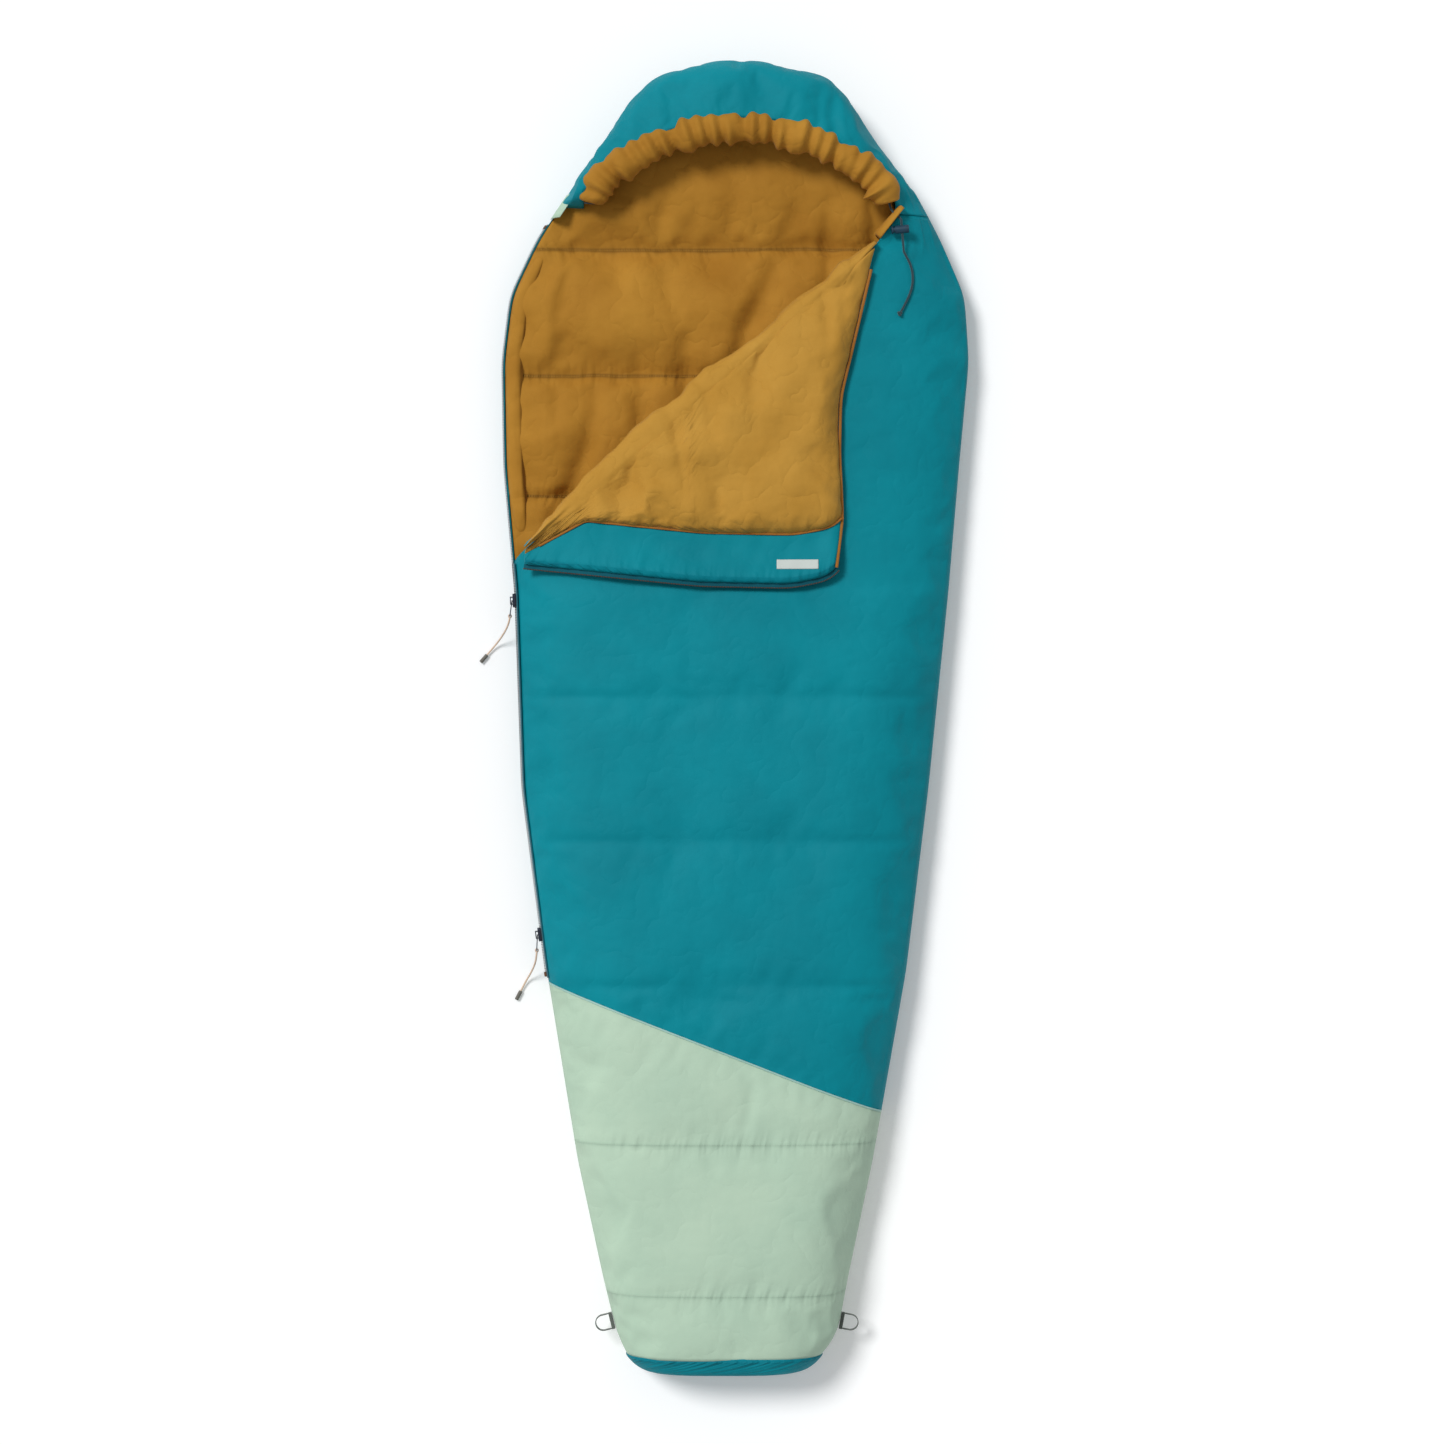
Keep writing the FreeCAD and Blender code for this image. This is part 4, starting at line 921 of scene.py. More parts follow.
shoulder_y = (top_y - SHOULDER[1]) / SHOULDER_SPREAD[1]
top_points[..., 2] -= SHOULDER_DIP * np.exp(-(shoulder_x ** 2 + shoulder_y ** 2))

# Its seam values give the mint's sewn lines their thread and a painted shade along them.
top_cover = sheet("top_cover", top_points, np.where(past_seam < 0, line_d, 1.0))
under = (fold_d > -0.01) & (top_y > foot_y + UNDER_FLAP) & (top_x < FLAP_RIGHT)
held = held_points(under.shape, [0, -1, *sewn_rows], [0, 1, -1, -2], (foot_seam_d < SEAM_HOLD) | under)
inflate(top_cover, held, 1.2, cap=0.006, slack=0.02)
co = coordinates(top_cover)
loose = np.clip(foot_y + PRESSED_TO - co[:, 1], 0, None) * 0.4
co[:, 2] = np.minimum(co[:, 2], shell_z(co[:, 0], co[:, 1]) + 0.0002 + loose)
set_coordinates(top_cover, co)
subdivide(top_cover)
top_tree = tree_of(top_cover)
foot_top_cover = split_at_seam(top_cover, "foot_top_cover")
dress(top_cover, teal, "bag", ("top_shell", "top_insulation"),
      thickness=CLOTH_THICKNESS)
dress(foot_top_cover, mint, "bag", ("foot_top_shell", "foot_top_insulation"),
      thickness=CLOTH_THICKNESS)

# %% [markdown]
# The underside is one sheet too. It starts at the side seam all round the bag, turns under
# in a quarter curve and then lies flat on the ground, meeting along the bag's middle line.

# %% Underside
TUCK = 0.070
CORNER_STEPS = 9
FLOOR_STEPS = 9
UNDER_SPACING = 0.012
UNDER_LINES = (*TOP_LINES, 1.404, 1.597, 1.800)
PINCH, PINCH_REACH = 0.003, 0.012
OFF_GROUND = 0.0004
around = resampled([(side_x(PANEL_FOOT, -1), PANEL_FOOT), *ring, (side_x(PANEL_FOOT, 1), PANEL_FOOT)],
                   UNDER_SPACING)
under_points = []
for x, y in around:
    spine_y = min(max(y, PANEL_FOOT), HOOD_SEAM)
    spine = np.array([across_at(spine_y)[0], spine_y])
    inward = spine - (x, y)
    room = np.linalg.norm(inward)
    tuck = min(TUCK, 0.6 * room)
    line = []
    for turn in np.linspace(0, math.pi / 2, CORNER_STEPS):
        d = tuck * (1 - math.cos(turn))
        line.append((*((x, y) + inward / room * d), seam_z * (1 - math.sin(turn)) + OFF_GROUND))
    for d in np.linspace(tuck, room, FLOOR_STEPS + 1)[1:]:
        line.append((*((x, y) + inward / room * d), OFF_GROUND))
    under_points.append(line)
under_points = np.array(under_points)
under_lines = line_distance(under_points[:, 0, 1], [foot_y + y for y in UNDER_LINES])
pinch = PINCH * np.exp(-under_lines / PINCH_REACH)[:, None]
rise = np.sin(np.clip(under_points[..., 2] / seam_z, 0, 1) * math.pi)
towards = np.sign(across_at(under_points[..., 1])[0] - under_points[..., 0])
under_points[..., 0] += towards * pinch * rise
# Its seam values draw the sewn lines across the underside, with painted shade along them.
bottom_cover = sheet("bottom_cover", under_points, under_lines[:, None], down=True)
bm = bmesh.new()
bm.from_mesh(bottom_cover.data)
bmesh.ops.remove_doubles(bm, verts=bm.verts, dist=2 * MEETING)  # the lines meet along the middle
bm.to_mesh(bottom_cover.data)
bm.free()
foot_bottom_cover = split_at_seam(bottom_cover, "foot_bottom_cover")
dress(bottom_cover, teal, "bag", ("bottom_shell", "bottom_insulation"),
      thickness=CLOTH_THICKNESS)
dress(foot_bottom_cover, mint, "bag", ("foot_bottom_shell",),
      thickness=CLOTH_THICKNESS)

# %% [markdown]
# The lining under the sleeper is what the open corner shows. It's quilted straight across:
# each sewn line is drawn deep into the batting, and the cloth between stands up in soft
# puffs. The lines are pinned low and the rest is inflated.

# %% Bottom lining
LINING_LINES = (0.130, 0.370, 0.620, 0.850, 1.080, 1.240, 1.404, 1.597, 1.800)
LINING_COLUMNS = 56
LINING_SPACING = 0.0115
LINING_INSET = 0.0025
LINING_FOOT, LINING_HEAD = 0.040, 0.060  # how far its ends stop short of the bag's
HIDDEN_TO = 1.20  # up to here the top panel covers it
LINING_DIP = 0.016
LINING_RISE = 0.013
marks = [foot_y + LINING_FOOT, *(foot_y + y for y in LINING_LINES), head_y - LINING_HEAD]
row_ys, mark_rows = rows_between(marks, LINING_SPACING)
sewn_rows = mark_rows[1:-1]
lining_points = np.zeros((len(row_ys), LINING_COLUMNS, 3))
for i, y in enumerate(row_ys):
    x = np.linspace(side_x(y, -1) + LINING_INSET, side_x(y, 1) - LINING_INSET, LINING_COLUMNS)
    lining_points[i] = np.stack([x, np.full_like(x, y), np.full_like(x, seam_z)], axis=1)
line_d = line_distance(row_ys, [row_ys[i] for i in sewn_rows])[:, None]
column = np.arange(LINING_COLUMNS)
inside = np.clip(np.minimum(column, column[::-1]) / 5, 0, 1)[None, :]
dip = -LINING_DIP * np.exp(-line_d / 0.010)
rise = LINING_RISE * (1 - np.exp(-line_d / 0.040))
lumps = 0.0045 * waves(lining_points[..., 0], lining_points[..., 1] * 1.4, 21, 0.13)
from_start = lining_points[..., :2] - np.array([fold_start.x, fold_start.y])
headward_d = -(from_start @ np.array([fold_out.x, fold_out.y]))
along_fold = from_start @ np.array([fold_axis.x, fold_axis.y])
pulled = np.abs(np.cos(along_fold * 24 + headward_d * 26 + 0.8 * np.sin(along_fold * 15))) ** 5
pulled = -0.012 * pulled * np.exp(-((headward_d - 0.035) / 0.055) ** 2)
lining_points[..., 2] += (dip + rise + lumps + pulled) * inside + 0.001
# Its seam values give each quilting line its thread and a deep painted shade in the crease.
bottom_lining = sheet("bottom_lining_quilt", lining_points, line_d)
hidden = lining_points[..., 1] < foot_y + HIDDEN_TO
held = held_points(hidden.shape, [0, -1, *sewn_rows], [0, -1], hidden)
inflate(bottom_lining, held, 2.0, cap=0.014, slack=0.05, bending=0.15)
dress(bottom_lining, gold, "bag", ("bottom_lining",), True, CLOTH_THICKNESS)
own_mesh(bottom_lining)

# %% [markdown]
# The lining over the sleeper hangs a loft's depth below the top shell. It shows from low
# angles through the open corner, so it's a real sheet with its face side down.

# %% Ceiling lining
TOP_LOFT = 0.036
SIDE_LOFT = 0.048
CEILING_COLUMNS = 45
CEILING_EDGE = 0.0195  # how far its edge hangs below the fold
EDGE_RISE = 0.09
row_ys = np.linspace(foot_y + 0.060, HOOD_SEAM, 120)
ceiling_points = np.zeros((len(row_ys), CEILING_COLUMNS, 3))
for i, y in enumerate(row_ys):
    middle, half = across_at(y, SIDE_LOFT)
    first = np.clip((open_edge_x(y) - middle) / half, -1, 1)
    t = np.linspace(np.interp(first, table_u, table_t), 1, CEILING_COLUMNS)
    u = np.interp(t, table_t, table_u)
    z = seam_z + (crown(y) - TOP_LOFT - seam_z) * np.sqrt(1 - u ** 4)
    edge = fold_start.z - CEILING_EDGE
    from_fold = np.clip((middle + u * half - open_edge_x(y)) / EDGE_RISE, 0, 1) if first > -1 else 1
    z = np.where(u > -1, z * from_fold + edge * (1 - from_fold), z)
    ceiling_points[i] = np.stack([middle + u * half, np.full_like(u, y), z], axis=1)
side_fade = 1 - np.abs(np.linspace(-1, 1, CEILING_COLUMNS)) ** 4
ceiling_points[..., 2] += 0.002 * waves(ceiling_points[..., 0], ceiling_points[..., 1], 33, 0.12) * side_fade
line_d = line_distance(row_ys, [foot_y + y for y in LINING_LINES])[:, None]
# Its seam values draw the quilting lines, with painted shade along them.
ceiling = sheet("ceiling_lining", ceiling_points, line_d, down=True)
dress(ceiling, gold, "bag", ("top_lining",), thickness=CLOTH_THICKNESS)

# %% [markdown]
# The turned-down corner of the top is a flap lying on the panel, lining side up. Its plan is a
# four-sided patch: the zip edge, the short tip, the fold and the neck edge. A Coons patch
# fills it from those four lines, so that its grid follows all of them.

# %% Flap outline
ZIP_EDGE = (
    (-0.338, 1.292), (-0.187, 1.276), (-0.058, 1.263), (0.086, 1.260), (0.146, 1.272), (0.158, 1.286),
)
NECK_LINE = ((0.158, 1.286), (0.168, 1.364), (0.163, 1.470), (0.165, 1.557), (0.192, 1.669))
FACING = 0.078
FLAP_BASE = fold_start.z + 0.0006
NECK_COUNT = 200


def in_frame(points):
    return np.array([(x, y + foot_y) for x, y in points])


def curve_through(points, count):
    """A smooth line through a few plan points."""
    fine = resampled(points, 0.004)
    fine = smooth(fine, 0.004, 0.012)
    return resampled(fine, np.linalg.norm(np.diff(fine, axis=0), axis=1).sum() / (count - 1))[:count]


FLAP_COLUMNS = 66
FLAP_ROWS = 44
FACING_ROWS = 10
zip_line = curve_through(in_frame(ZIP_EDGE), FLAP_COLUMNS)
fold_xy = np.array([fold_end.xy, fold_start.xy])
fold_line = np.linspace(fold_xy[0], fold_xy[1], FLAP_COLUMNS)
neck_points = np.concatenate([in_frame(NECK_LINE), [fold_start.xy]])
neck_fine = curve_through(neck_points, NECK_COUNT)


def coons(u, v, i):
    """Plan point of the flap at column i, share u along it and share v from the zip edge up."""
    neck = np.stack([np.interp(v, np.linspace(0, 1, NECK_COUNT), column) for column in neck_fine.T], axis=-1)
    v = v[..., None]
    tip = zip_line[0] + (fold_line[0] - zip_line[0]) * v
    lofted, at_tip, at_neck = ((1 - v) * zip_line[k] + v * fold_line[k] for k in (i, 0, -1))
    sides = (1 - u) * tip + u * neck
    corners = (1 - u) * at_tip + u * at_neck
    return lofted + sides - corners


def flap_grid(low, high, rows):
    """Plan grid of the flap between two shares; each may differ from column to column."""
    grid = np.zeros((rows, FLAP_COLUMNS, 2))
    for i, u in enumerate(np.linspace(0, 1, FLAP_COLUMNS)):
        v = low[i] + (high[i] - low[i]) * np.linspace(0, 1, rows)
        grid[:, i] = coons(u, v, i)
    return grid


def distance_to(points, line):
    """Least distance from plan points to a line of points."""
    line = resampled(line, 0.006)
    apart = points.reshape(-1, 2)[:, None, :] - line[None]
    return np.sqrt((apart ** 2).sum(axis=2)).min(axis=1).reshape(points.shape[:-1])


def rounded(distance, radius):
    """0 at an edge, rising in a quarter circle to 1."""
    return np.sqrt(1 - (1 - np.clip(distance / radius, 0, 1)) ** 2)


EDGE_LIFT = 0.011
DROOP = 0.010


def flap_base(x, y):
    """Height of the flap's underside; its zip edge stands off the bag a little, and its tip
    droops over the bag's rounded side."""
    drop = np.clip(FLAP_BASE - 0.003 - shell_z(x, y), 0, DROOP)
    edge = distance_to(np.stack([x, y], axis=-1), zip_line)
    lift = EDGE_LIFT * smoothstep(1 - edge / 0.06) * np.clip((x + 0.26) / 0.08, 0, 1)
    return FLAP_BASE + lift - drop * np.clip((-0.24 - x) / 0.08, 0, 1)


heights = np.linalg.norm(fold_line - zip_line, axis=1)
facing_share = np.minimum(FACING / heights, 0.60)
FOLD_CLEAR = 0.005
fold_share = 1 - np.minimum(FOLD_CLEAR / np.maximum(heights, 0.02), 0.25)
gold_plan = flap_grid(facing_share, fold_share, FLAP_ROWS)
facing_plan = flap_grid(np.zeros(FLAP_COLUMNS), facing_share + 0.004, FACING_ROWS)
gold_edge = gold_plan[0]
print("flap", round(float(heights.max()), 3), "m deep, facing", round(FACING, 3), "m")

# %% [markdown]
# The flap's padding is squeezed thin where it folds, swells to its full loft within a hand's
# width, and is rounded off at its free edges. Long creases run slantwise down from the fold,
# where the cloth is pulled. The form is closed, so it can be blown up like a cushion.

# %% Flap padding
FOLD_LOFT = 0.0197
FLAP_LOFT = 0.035
FACING_EDGE, NECK_SIDE_EDGE = 0.009, 0.006  # thickness left where the padding ends
SWELL_WIDTH = 0.085


def smoothstep(t):
    t = np.clip(t, 0, 1)
    return t * t * (3 - 2 * t)


def flap_creases(plan):
    """Slanting creases that start at the fold and die out across the flap."""
    from_fold = distance_to(plan, fold_line)
    along = (plan[..., 0] - fold_xy[0, 0]) * fold_axis.x + (plan[..., 1] - fold_xy[0, 1]) * fold_axis.y
    phase = along * 46 + from_fold * 30 + 1.2 * np.sin(along * 17)
    phase += 0.8 * np.sin(from_fold * 41 + along * 9)
    ridge = np.sin(phase) - 0.45 * np.abs(np.sin(phase * 0.5 + 0.7))
    pull = np.abs(np.cos(along * 31 - from_fold * 24 + 0.9 * np.sin(along * 19))) ** 8
    return (ridge - 1.3 * pull) * np.exp(-((from_fold - 0.030) / 0.060) ** 2)


def flap_top(plan):
    x, y = plan[..., 0], plan[..., 1]
    from_fold = distance_to(plan, fold_line)
    loft = FOLD_LOFT + (FLAP_LOFT - FOLD_LOFT) * smoothstep(from_fold / SWELL_WIDTH)
    loft = FACING_EDGE + (loft - FACING_EDGE) * rounded(distance_to(plan, gold_edge), 0.032)
    from_neck = distance_to(plan, neck_fine)
    loft = NECK_SIDE_EDGE + (loft - NECK_SIDE_EDGE) * rounded(from_neck, 0.028)
    mound = rounded(from_neck, 0.05)
    relief = 0.0050 * flap_creases(plan) + 0.0036 * waves(x, y, 5, 0.10) * smoothstep(from_fold / 0.05)
    return flap_base(x, y) + loft + relief * mound


gold_top = np.dstack([gold_plan, flap_top(gold_plan)])
gold_bottom = np.dstack([gold_plan, flap_base(gold_plan[..., 0], gold_plan[..., 1]) + 0.0016])
VERTICAL_SEAM_X = -0.071
seam_d = np.minimum(distance_to(gold_plan, gold_edge + (0, 0.004)),
                    0.0035 + np.abs(gold_plan[..., 0] - VERTICAL_SEAM_X))
# seam_d draws the flap's sewn lines, with painted shade along them.
flap_padding = pillow("flap_padding", gold_top, gold_bottom, seam_d)
co = coordinates(flap_padding)
on_base = co[:, 2] < flap_base(co[:, 0], co[:, 1]) + 0.0022
near_edge = np.minimum(distance_to(co[:, :2], fold_line), distance_to(co[:, :2], gold_edge)) < 0.006
inflate(flap_padding, np.flatnonzero(on_base | near_edge), 2.2, cap=0.006, slack=0.05, bending=0.15)
# The flap's padding takes the gold lining painted lighter as lit.
dress(flap_padding, gold_painted_lit, "flap", ("flap_lining", "flap_insulation"), True)

# %% [markdown]
# Along the zip edge the flap is faced with shell cloth, thinner than the rest, with the zip's
# tape behind it. The facing is its own thin pad. Below both lies the flap's shell, the side
# that is on top when the bag is closed.

# %% Flap facing and shell
FACING_LOFT = 0.0125
x, y = facing_plan[..., 0], facing_plan[..., 1]
zip_d = distance_to(facing_plan, zip_line)
neck_rounding = rounded(distance_to(facing_plan, neck_fine[:80]) + 0.002, 0.014)
loft = 0.003 + (FACING_LOFT - 0.003) * rounded(zip_d, 0.010) * neck_rounding
facing_relief = 0.0012 * waves(x * 1.6, y, 14, 0.05) * np.clip(zip_d / 0.02, 0, 1)
facing_top = np.dstack([facing_plan, flap_base(x, y) + loft + facing_relief])
facing_bottom = np.dstack([facing_plan, flap_base(x, y) + 0.0014])
# Its seam values draw a sewn line along the zip edge, with painted shade beside it.
flap_facing = pillow("flap_facing", facing_top, facing_bottom, np.abs(zip_d - 0.006) + 0.0004)
dress(flap_facing, teal, "flap", ("flap_zip_facing",), True)

flap_plan = flap_grid(np.zeros(FLAP_COLUMNS), 1 - (1 - fold_share) * 0.6, 36)
flap_shell_points = np.dstack([flap_plan, flap_base(flap_plan[..., 0], flap_plan[..., 1]) + 0.0008])
flap_shell = sheet("flap_shell_cloth", flap_shell_points, down=True)
dress(flap_shell, teal, "flap", ("flap_shell",), True, CLOTH_THICKNESS)

# %% [markdown]
# Where the flap leaves the bag, the lining rolls over in one soft edge, pressed unevenly. The
# roll crosses the hinge, and a closed flap leaves no room for it. So it is made in two halves
# that meet at its middle: the lower half stays with the bag and the upper half goes with the
# flap. Only the narrow strip of shell along the hinge line is blended between the two bodies,
# because it's small enough to bend in place.

# %% Fold roll and crease
def half_tube(start, end, radius, rows, uneven=0.0, columns=15, reach=None):
    """Half a tube along the line from start to end, on its headward side; reach gives
    how far it stands out along its length."""
    start, end = np.array(start), np.array(end)
    length = np.linalg.norm(end - start)
    run = (end - start) / length
    along = np.linspace(0, 1, rows)
    turn = np.radians(np.linspace(-90, 90, columns))
    s = along[:, None] * length
    lumps = waves(s, turn[None, :] * 0.02, 8, 0.07) + 0.5 * waves(s, turn[None, :] * 0.01, 4, 0.03)
    ends = rounded(np.minimum(along, 1 - along) * length, 0.012)[:, None] * 0.5 + 0.5
    r = radius * np.where(np.abs(np.sin(turn)) > 0.98, 1, 1 + uneven * lumps) * ends
    if reach is not None:
        stands_out = smooth(np.interp(along * length, *np.array(reach).T), 0.005, 0.018)
        r = stands_out[:, None] * (1 + 0.5 * (r / radius - 1))
    out = np.array(headward) * (r * np.cos(turn))[..., None]
    up = np.array([0, 0, 1.0]) * (radius * np.sin(turn) * ends)[..., None]
    return start + run * (along[:, None, None] * length) + out + up


ROLL_ROWS = 150
ROLL_COLUMNS = 15
MIDDLE = ROLL_COLUMNS // 2
ROLL_OVERLAP = 0.020
ROLL_REACH = (
    (0, 0.008), (0.06, 0.016), (0.11, 0.013), (0.17, 0.021), (0.22, 0.013), (0.28, 0.020), (0.34, 0.030),
    (0.40, 0.023), (0.46, 0.033), (0.53, 0.025), (0.58, 0.030), (0.66, 0.016), (0.739, 0.005),
)
SHUT_CLEAR = 0.0045
CREASE_RADIUS = 0.004
NECK_ROLL_RADIUS = 0.0185
roll_points = half_tube(fold_start, fold_end, FOLD_LOFT, ROLL_ROWS, 0.20, ROLL_COLUMNS, ROLL_REACH)
overlap = []
roll_s = np.linspace(0, FOLD_LENGTH, ROLL_ROWS)
overlap_share = np.minimum(np.clip(roll_s / 0.10, 0.05, 1), np.clip((FOLD_LENGTH - roll_s) / 0.14, 0.05, 1))
for reach in np.linspace(0.003, ROLL_OVERLAP, 6):
    plan = roll_points[:, -1, :2] + np.array(fold_out.xy) * reach * overlap_share[:, None]
    tuck_in = 0.0008 - 0.0030 * smoothstep((reach - 0.010) / 0.008)
    overlap.append(np.column_stack([plan, flap_top(plan) + tuck_in]))
roll_points[:, -1, 2] = flap_top(roll_points[:, -1, :2]) + 0.0006
pressed = flap_creases(roll_points[:, -1, :2])[:, None] * 0.0045
round_it = np.linspace(0, 1, ROLL_COLUMNS) * math.pi
rolling = np.sin(round_it / 2)[None, :] ** 2
roll_points[:, :-1, 2] += (pressed * rolling)[:, :-1]
bulge_out = np.clip(pressed * 1.2, -0.004, 0.006) * np.sin(round_it)[None, :]
roll_points[..., :2] += bulge_out[..., None] * np.array(headward.xy)
roll_points = np.concatenate([roll_points, np.stack(overlap, axis=1)], axis=1)
upper_points, lower_points = roll_points[:, MIDDLE:].copy(), roll_points[:, :MIDDLE + 1].copy()
upper_points[..., 2] = np.maximum(upper_points[..., 2], fold_start.z + 0.002)
lower_points[:, -1] = upper_points[:, 0]
# Both roll halves take the gold lining painted lighter as lit.
for name, points, body, node, shut in (
        ("fold_lining_roll", upper_points, "flap", "fold_lining", fold_start - headward * SHUT_CLEAR),
        ("fold_lining_underside", lower_points, "bag", "fold_insulation", fold_start)):
    roll = dress(sheet(name, points), gold_painted_lit, body, (node,), True, CLOTH_THICKNESS)
    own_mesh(roll)

crease_strip = sheet("fold_shell_crease", half_tube(fold_start, fold_end, CREASE_RADIUS, 90, columns=7))
dress(crease_strip, teal, None, (), thickness=THIN_CLOTH)
half_strip = Vector((0, 0, CREASE_RADIUS))
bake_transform(crease_strip, "bag", "flap", fold_start - half_strip, fold_start + half_strip)

neck_roll_end = Vector((*NECK_EDGE.xy, fold_start.z - 0.012))
neck_roll_start = (fold_start - Vector((0, 0, NECK_ROLL_RADIUS))).lerp(neck_roll_end, 0.14)
NECK_REACH = ((0, 0.013), (0.05, 0.010), (0.2, 0.010))
neck_tube = half_tube(neck_roll_start, neck_roll_end, NECK_ROLL_RADIUS, 24, 0.1, reach=NECK_REACH)
neck_roll = sheet("neck_edge_roll", neck_tube)
dress(neck_roll, gold, "bag", (), thickness=CLOTH_THICKNESS)

# %% [markdown]
# The hood is laid out as rays from a hub at the middle of the hood seam. Its rim is a
# three-centred arch, a wide arc over the forehead and a tight one at each cheek, lying in a
# plane that rises a little towards the crown. The drawcord in the frame has the same line.

# %% Hood rays
HUB = np.array([0.005, HOOD_SEAM])
RIM_RADIUS = 0.0215
ARCH_CROWN, ARCH_SIDE = 0.3355, 0.0655  # radii of the drawcord's arcs
ARCH_TURN, ARCH_END = math.radians(40), math.radians(84)
ARCH_TOP = Vector((0.005, foot_y + 2.009, 0.128))
ARCH_SLOPE = math.radians(12)
ARCH_INSET = 0.0225
turns = np.linspace(ARCH_END, -ARCH_END, 150)
over_crown = np.abs(turns) <= ARCH_TURN
hub_reach = ARCH_CROWN - ARCH_SIDE
arch_x = np.where(over_crown, ARCH_CROWN * np.sin(turns),
                  np.sign(turns) * hub_reach * math.sin(ARCH_TURN) + ARCH_SIDE * np.sin(turns))
arch_v = np.where(over_crown, ARCH_CROWN * np.cos(turns),
                  hub_reach * math.cos(ARCH_TURN) + ARCH_SIDE * np.cos(turns)) - ARCH_CROWN - ARCH_INSET
rim_centre = np.column_stack([
    ARCH_TOP.x + arch_x,
    ARCH_TOP.y + arch_v * math.cos(ARCH_SLOPE),
    ARCH_TOP.z + arch_v * math.sin(ARCH_SLOPE)])
off_cord = abs(rim_centre[:, 1].max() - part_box("hood_drawcord")[1].y + DRAWCORD / 2)
print("rim line is within", round(off_cord * 1000, 1), "mm of the drawcord")
rim_angle = np.arctan2(rim_centre[:, 1] - HUB[1], rim_centre[:, 0] - HUB[0])
rim_reach = np.linalg.norm(rim_centre[:, :2] - HUB, axis=1)
ring_angle = np.arctan2(ring[:, 1] - HUB[1], ring[:, 0] - HUB[0])
upper = ring[:, 1] > HUB[1] - 0.03
order = np.argsort(ring_angle[upper])
outer_angle = ring_angle[upper][order]
outer_reach = np.linalg.norm(ring[upper] - HUB, axis=1)[order]


def ray(angle, reach):
    return HUB + np.stack([np.cos(angle), np.sin(angle)], axis=-1) * np.asarray(reach)[..., None]


print("hood rays from", [round(math.degrees(a)) for a in (rim_angle[0], rim_angle[-1])], "degrees")

# %% [markdown]
# The hood's shell is a crescent between rim and side seam: flat-topped like the bag's section,
# swelling a little above the rim and falling away steeply outside. At its open end it curves
# down and in, and it's inflated like the other padded cloths.

# %% Hood shell
HOOD_ROWS = 110
HOOD_COLUMNS = 22
HOOD_CROWN = (0.104, 0.122, 0.138, 0.142, 0.138, 0.124, 0.112)  # over the right, top and left
OPEN_END = math.radians(177)
OFF_RIM = 0.010
RIM_DIP, RIM_DIP_REACH = 0.014, 0.16
angles = np.linspace(0, OPEN_END, HOOD_ROWS)
inner = np.interp(angles, rim_angle, rim_reach)
inner = np.where(angles < rim_angle[0], rim_reach[0] * np.cos(rim_angle[0]) / np.cos(angles), inner)
inner_z = np.interp(angles, rim_angle, rim_centre[:, 2])
outer = np.interp(angles, outer_angle, outer_reach)
s = np.linspace(0, 1, HOOD_COLUMNS)[None, :] ** 0.9
s = 0.3 * s + 0.7 * np.sin(s * math.pi / 2)
start_reach = inner + OFF_RIM
reach = start_reach[:, None] + (outer - start_reach)[:, None] * s
plan = ray(angles[:, None] + 0 * s, reach)
peak = np.interp(np.degrees(angles), np.linspace(0, 180, 7), HOOD_CROWN)[:, None]
radial = seam_z + (peak - seam_z) * np.sqrt(1 - s ** 3.2)
radial -= (peak - inner_z[:, None] - RIM_DIP) * np.exp(-(s / RIM_DIP_REACH) ** 2)
blend_in = smoothstep(np.degrees(angles) / 28)[:, None]
z = radial * blend_in + shell_z(plan[..., 0], plan[..., 1]) * (1 - blend_in)
to_end = (OPEN_END - angles)[:, None] * reach
z = seam_z + (z - seam_z) * (0.25 + 0.75 * rounded(to_end, 0.030))
z += 0.0022 * waves(plan[..., 0], plan[..., 1], 17, 0.11) * np.sin(s * math.pi) * blend_in
hood_points = np.dstack([plan, z])
# Its seam values draw a sewn line at the rim edge, with painted shade in the groove beside it.
hood_cover = sheet("hood_cover", hood_points, np.minimum(s * (outer - start_reach)[:, None] + 0.0002, 1))
inflate(hood_cover, held_points(z.shape, [0, -1], [0, -1, -2]), 1.6, cap=0.007, slack=0.03)
dress(hood_cover, teal, "bag", ("hood_shell", "hood_insulation"), True, CLOTH_THICKNESS)

# %% [markdown]
# The rim is a padded tube of lining cloth, gathered on its drawcord. Gathers are what make it
# look soft: the tube's radius rises and falls at uneven steps along its length, more on the
# inside of the curve, where there is less room for the same cloth.

# %% Gathered rim
RIM_ROWS = 260
RIM_SIDES = 28
fine_angle = np.linspace(rim_angle[0], rim_angle[-1], RIM_ROWS)
centre = np.stack([np.interp(fine_angle, rim_angle, rim_centre[:, k]) for k in range(3)], axis=1)
centre = smooth(centre, 1.0, 4.0)
tangent = unit(np.gradient(centre, axis=0))
outward = unit(np.cross(tangent, np.array([0, 0, 1.0])))
upward = np.cross(outward, tangent)
along = np.concatenate([[0], np.cumsum(np.linalg.norm(np.diff(centre, axis=0), axis=1))])
turn = np.linspace(0, 2 * math.pi, RIM_SIDES, endpoint=False)
gathers = np.zeros((RIM_ROWS, RIM_SIDES))
random = np.random.default_rng(41)
for wave_length in (0.150, 0.088, 0.057, 0.038, 0.027, 0.021):
    phase, slant = random.uniform(0, 6.28), random.uniform(-0.7, 0.7)
    twist = slant * np.sin(turn + phase)[None, :] * 2
    gathers += np.sin(2 * math.pi * along[:, None] / wave_length + phase + twist)
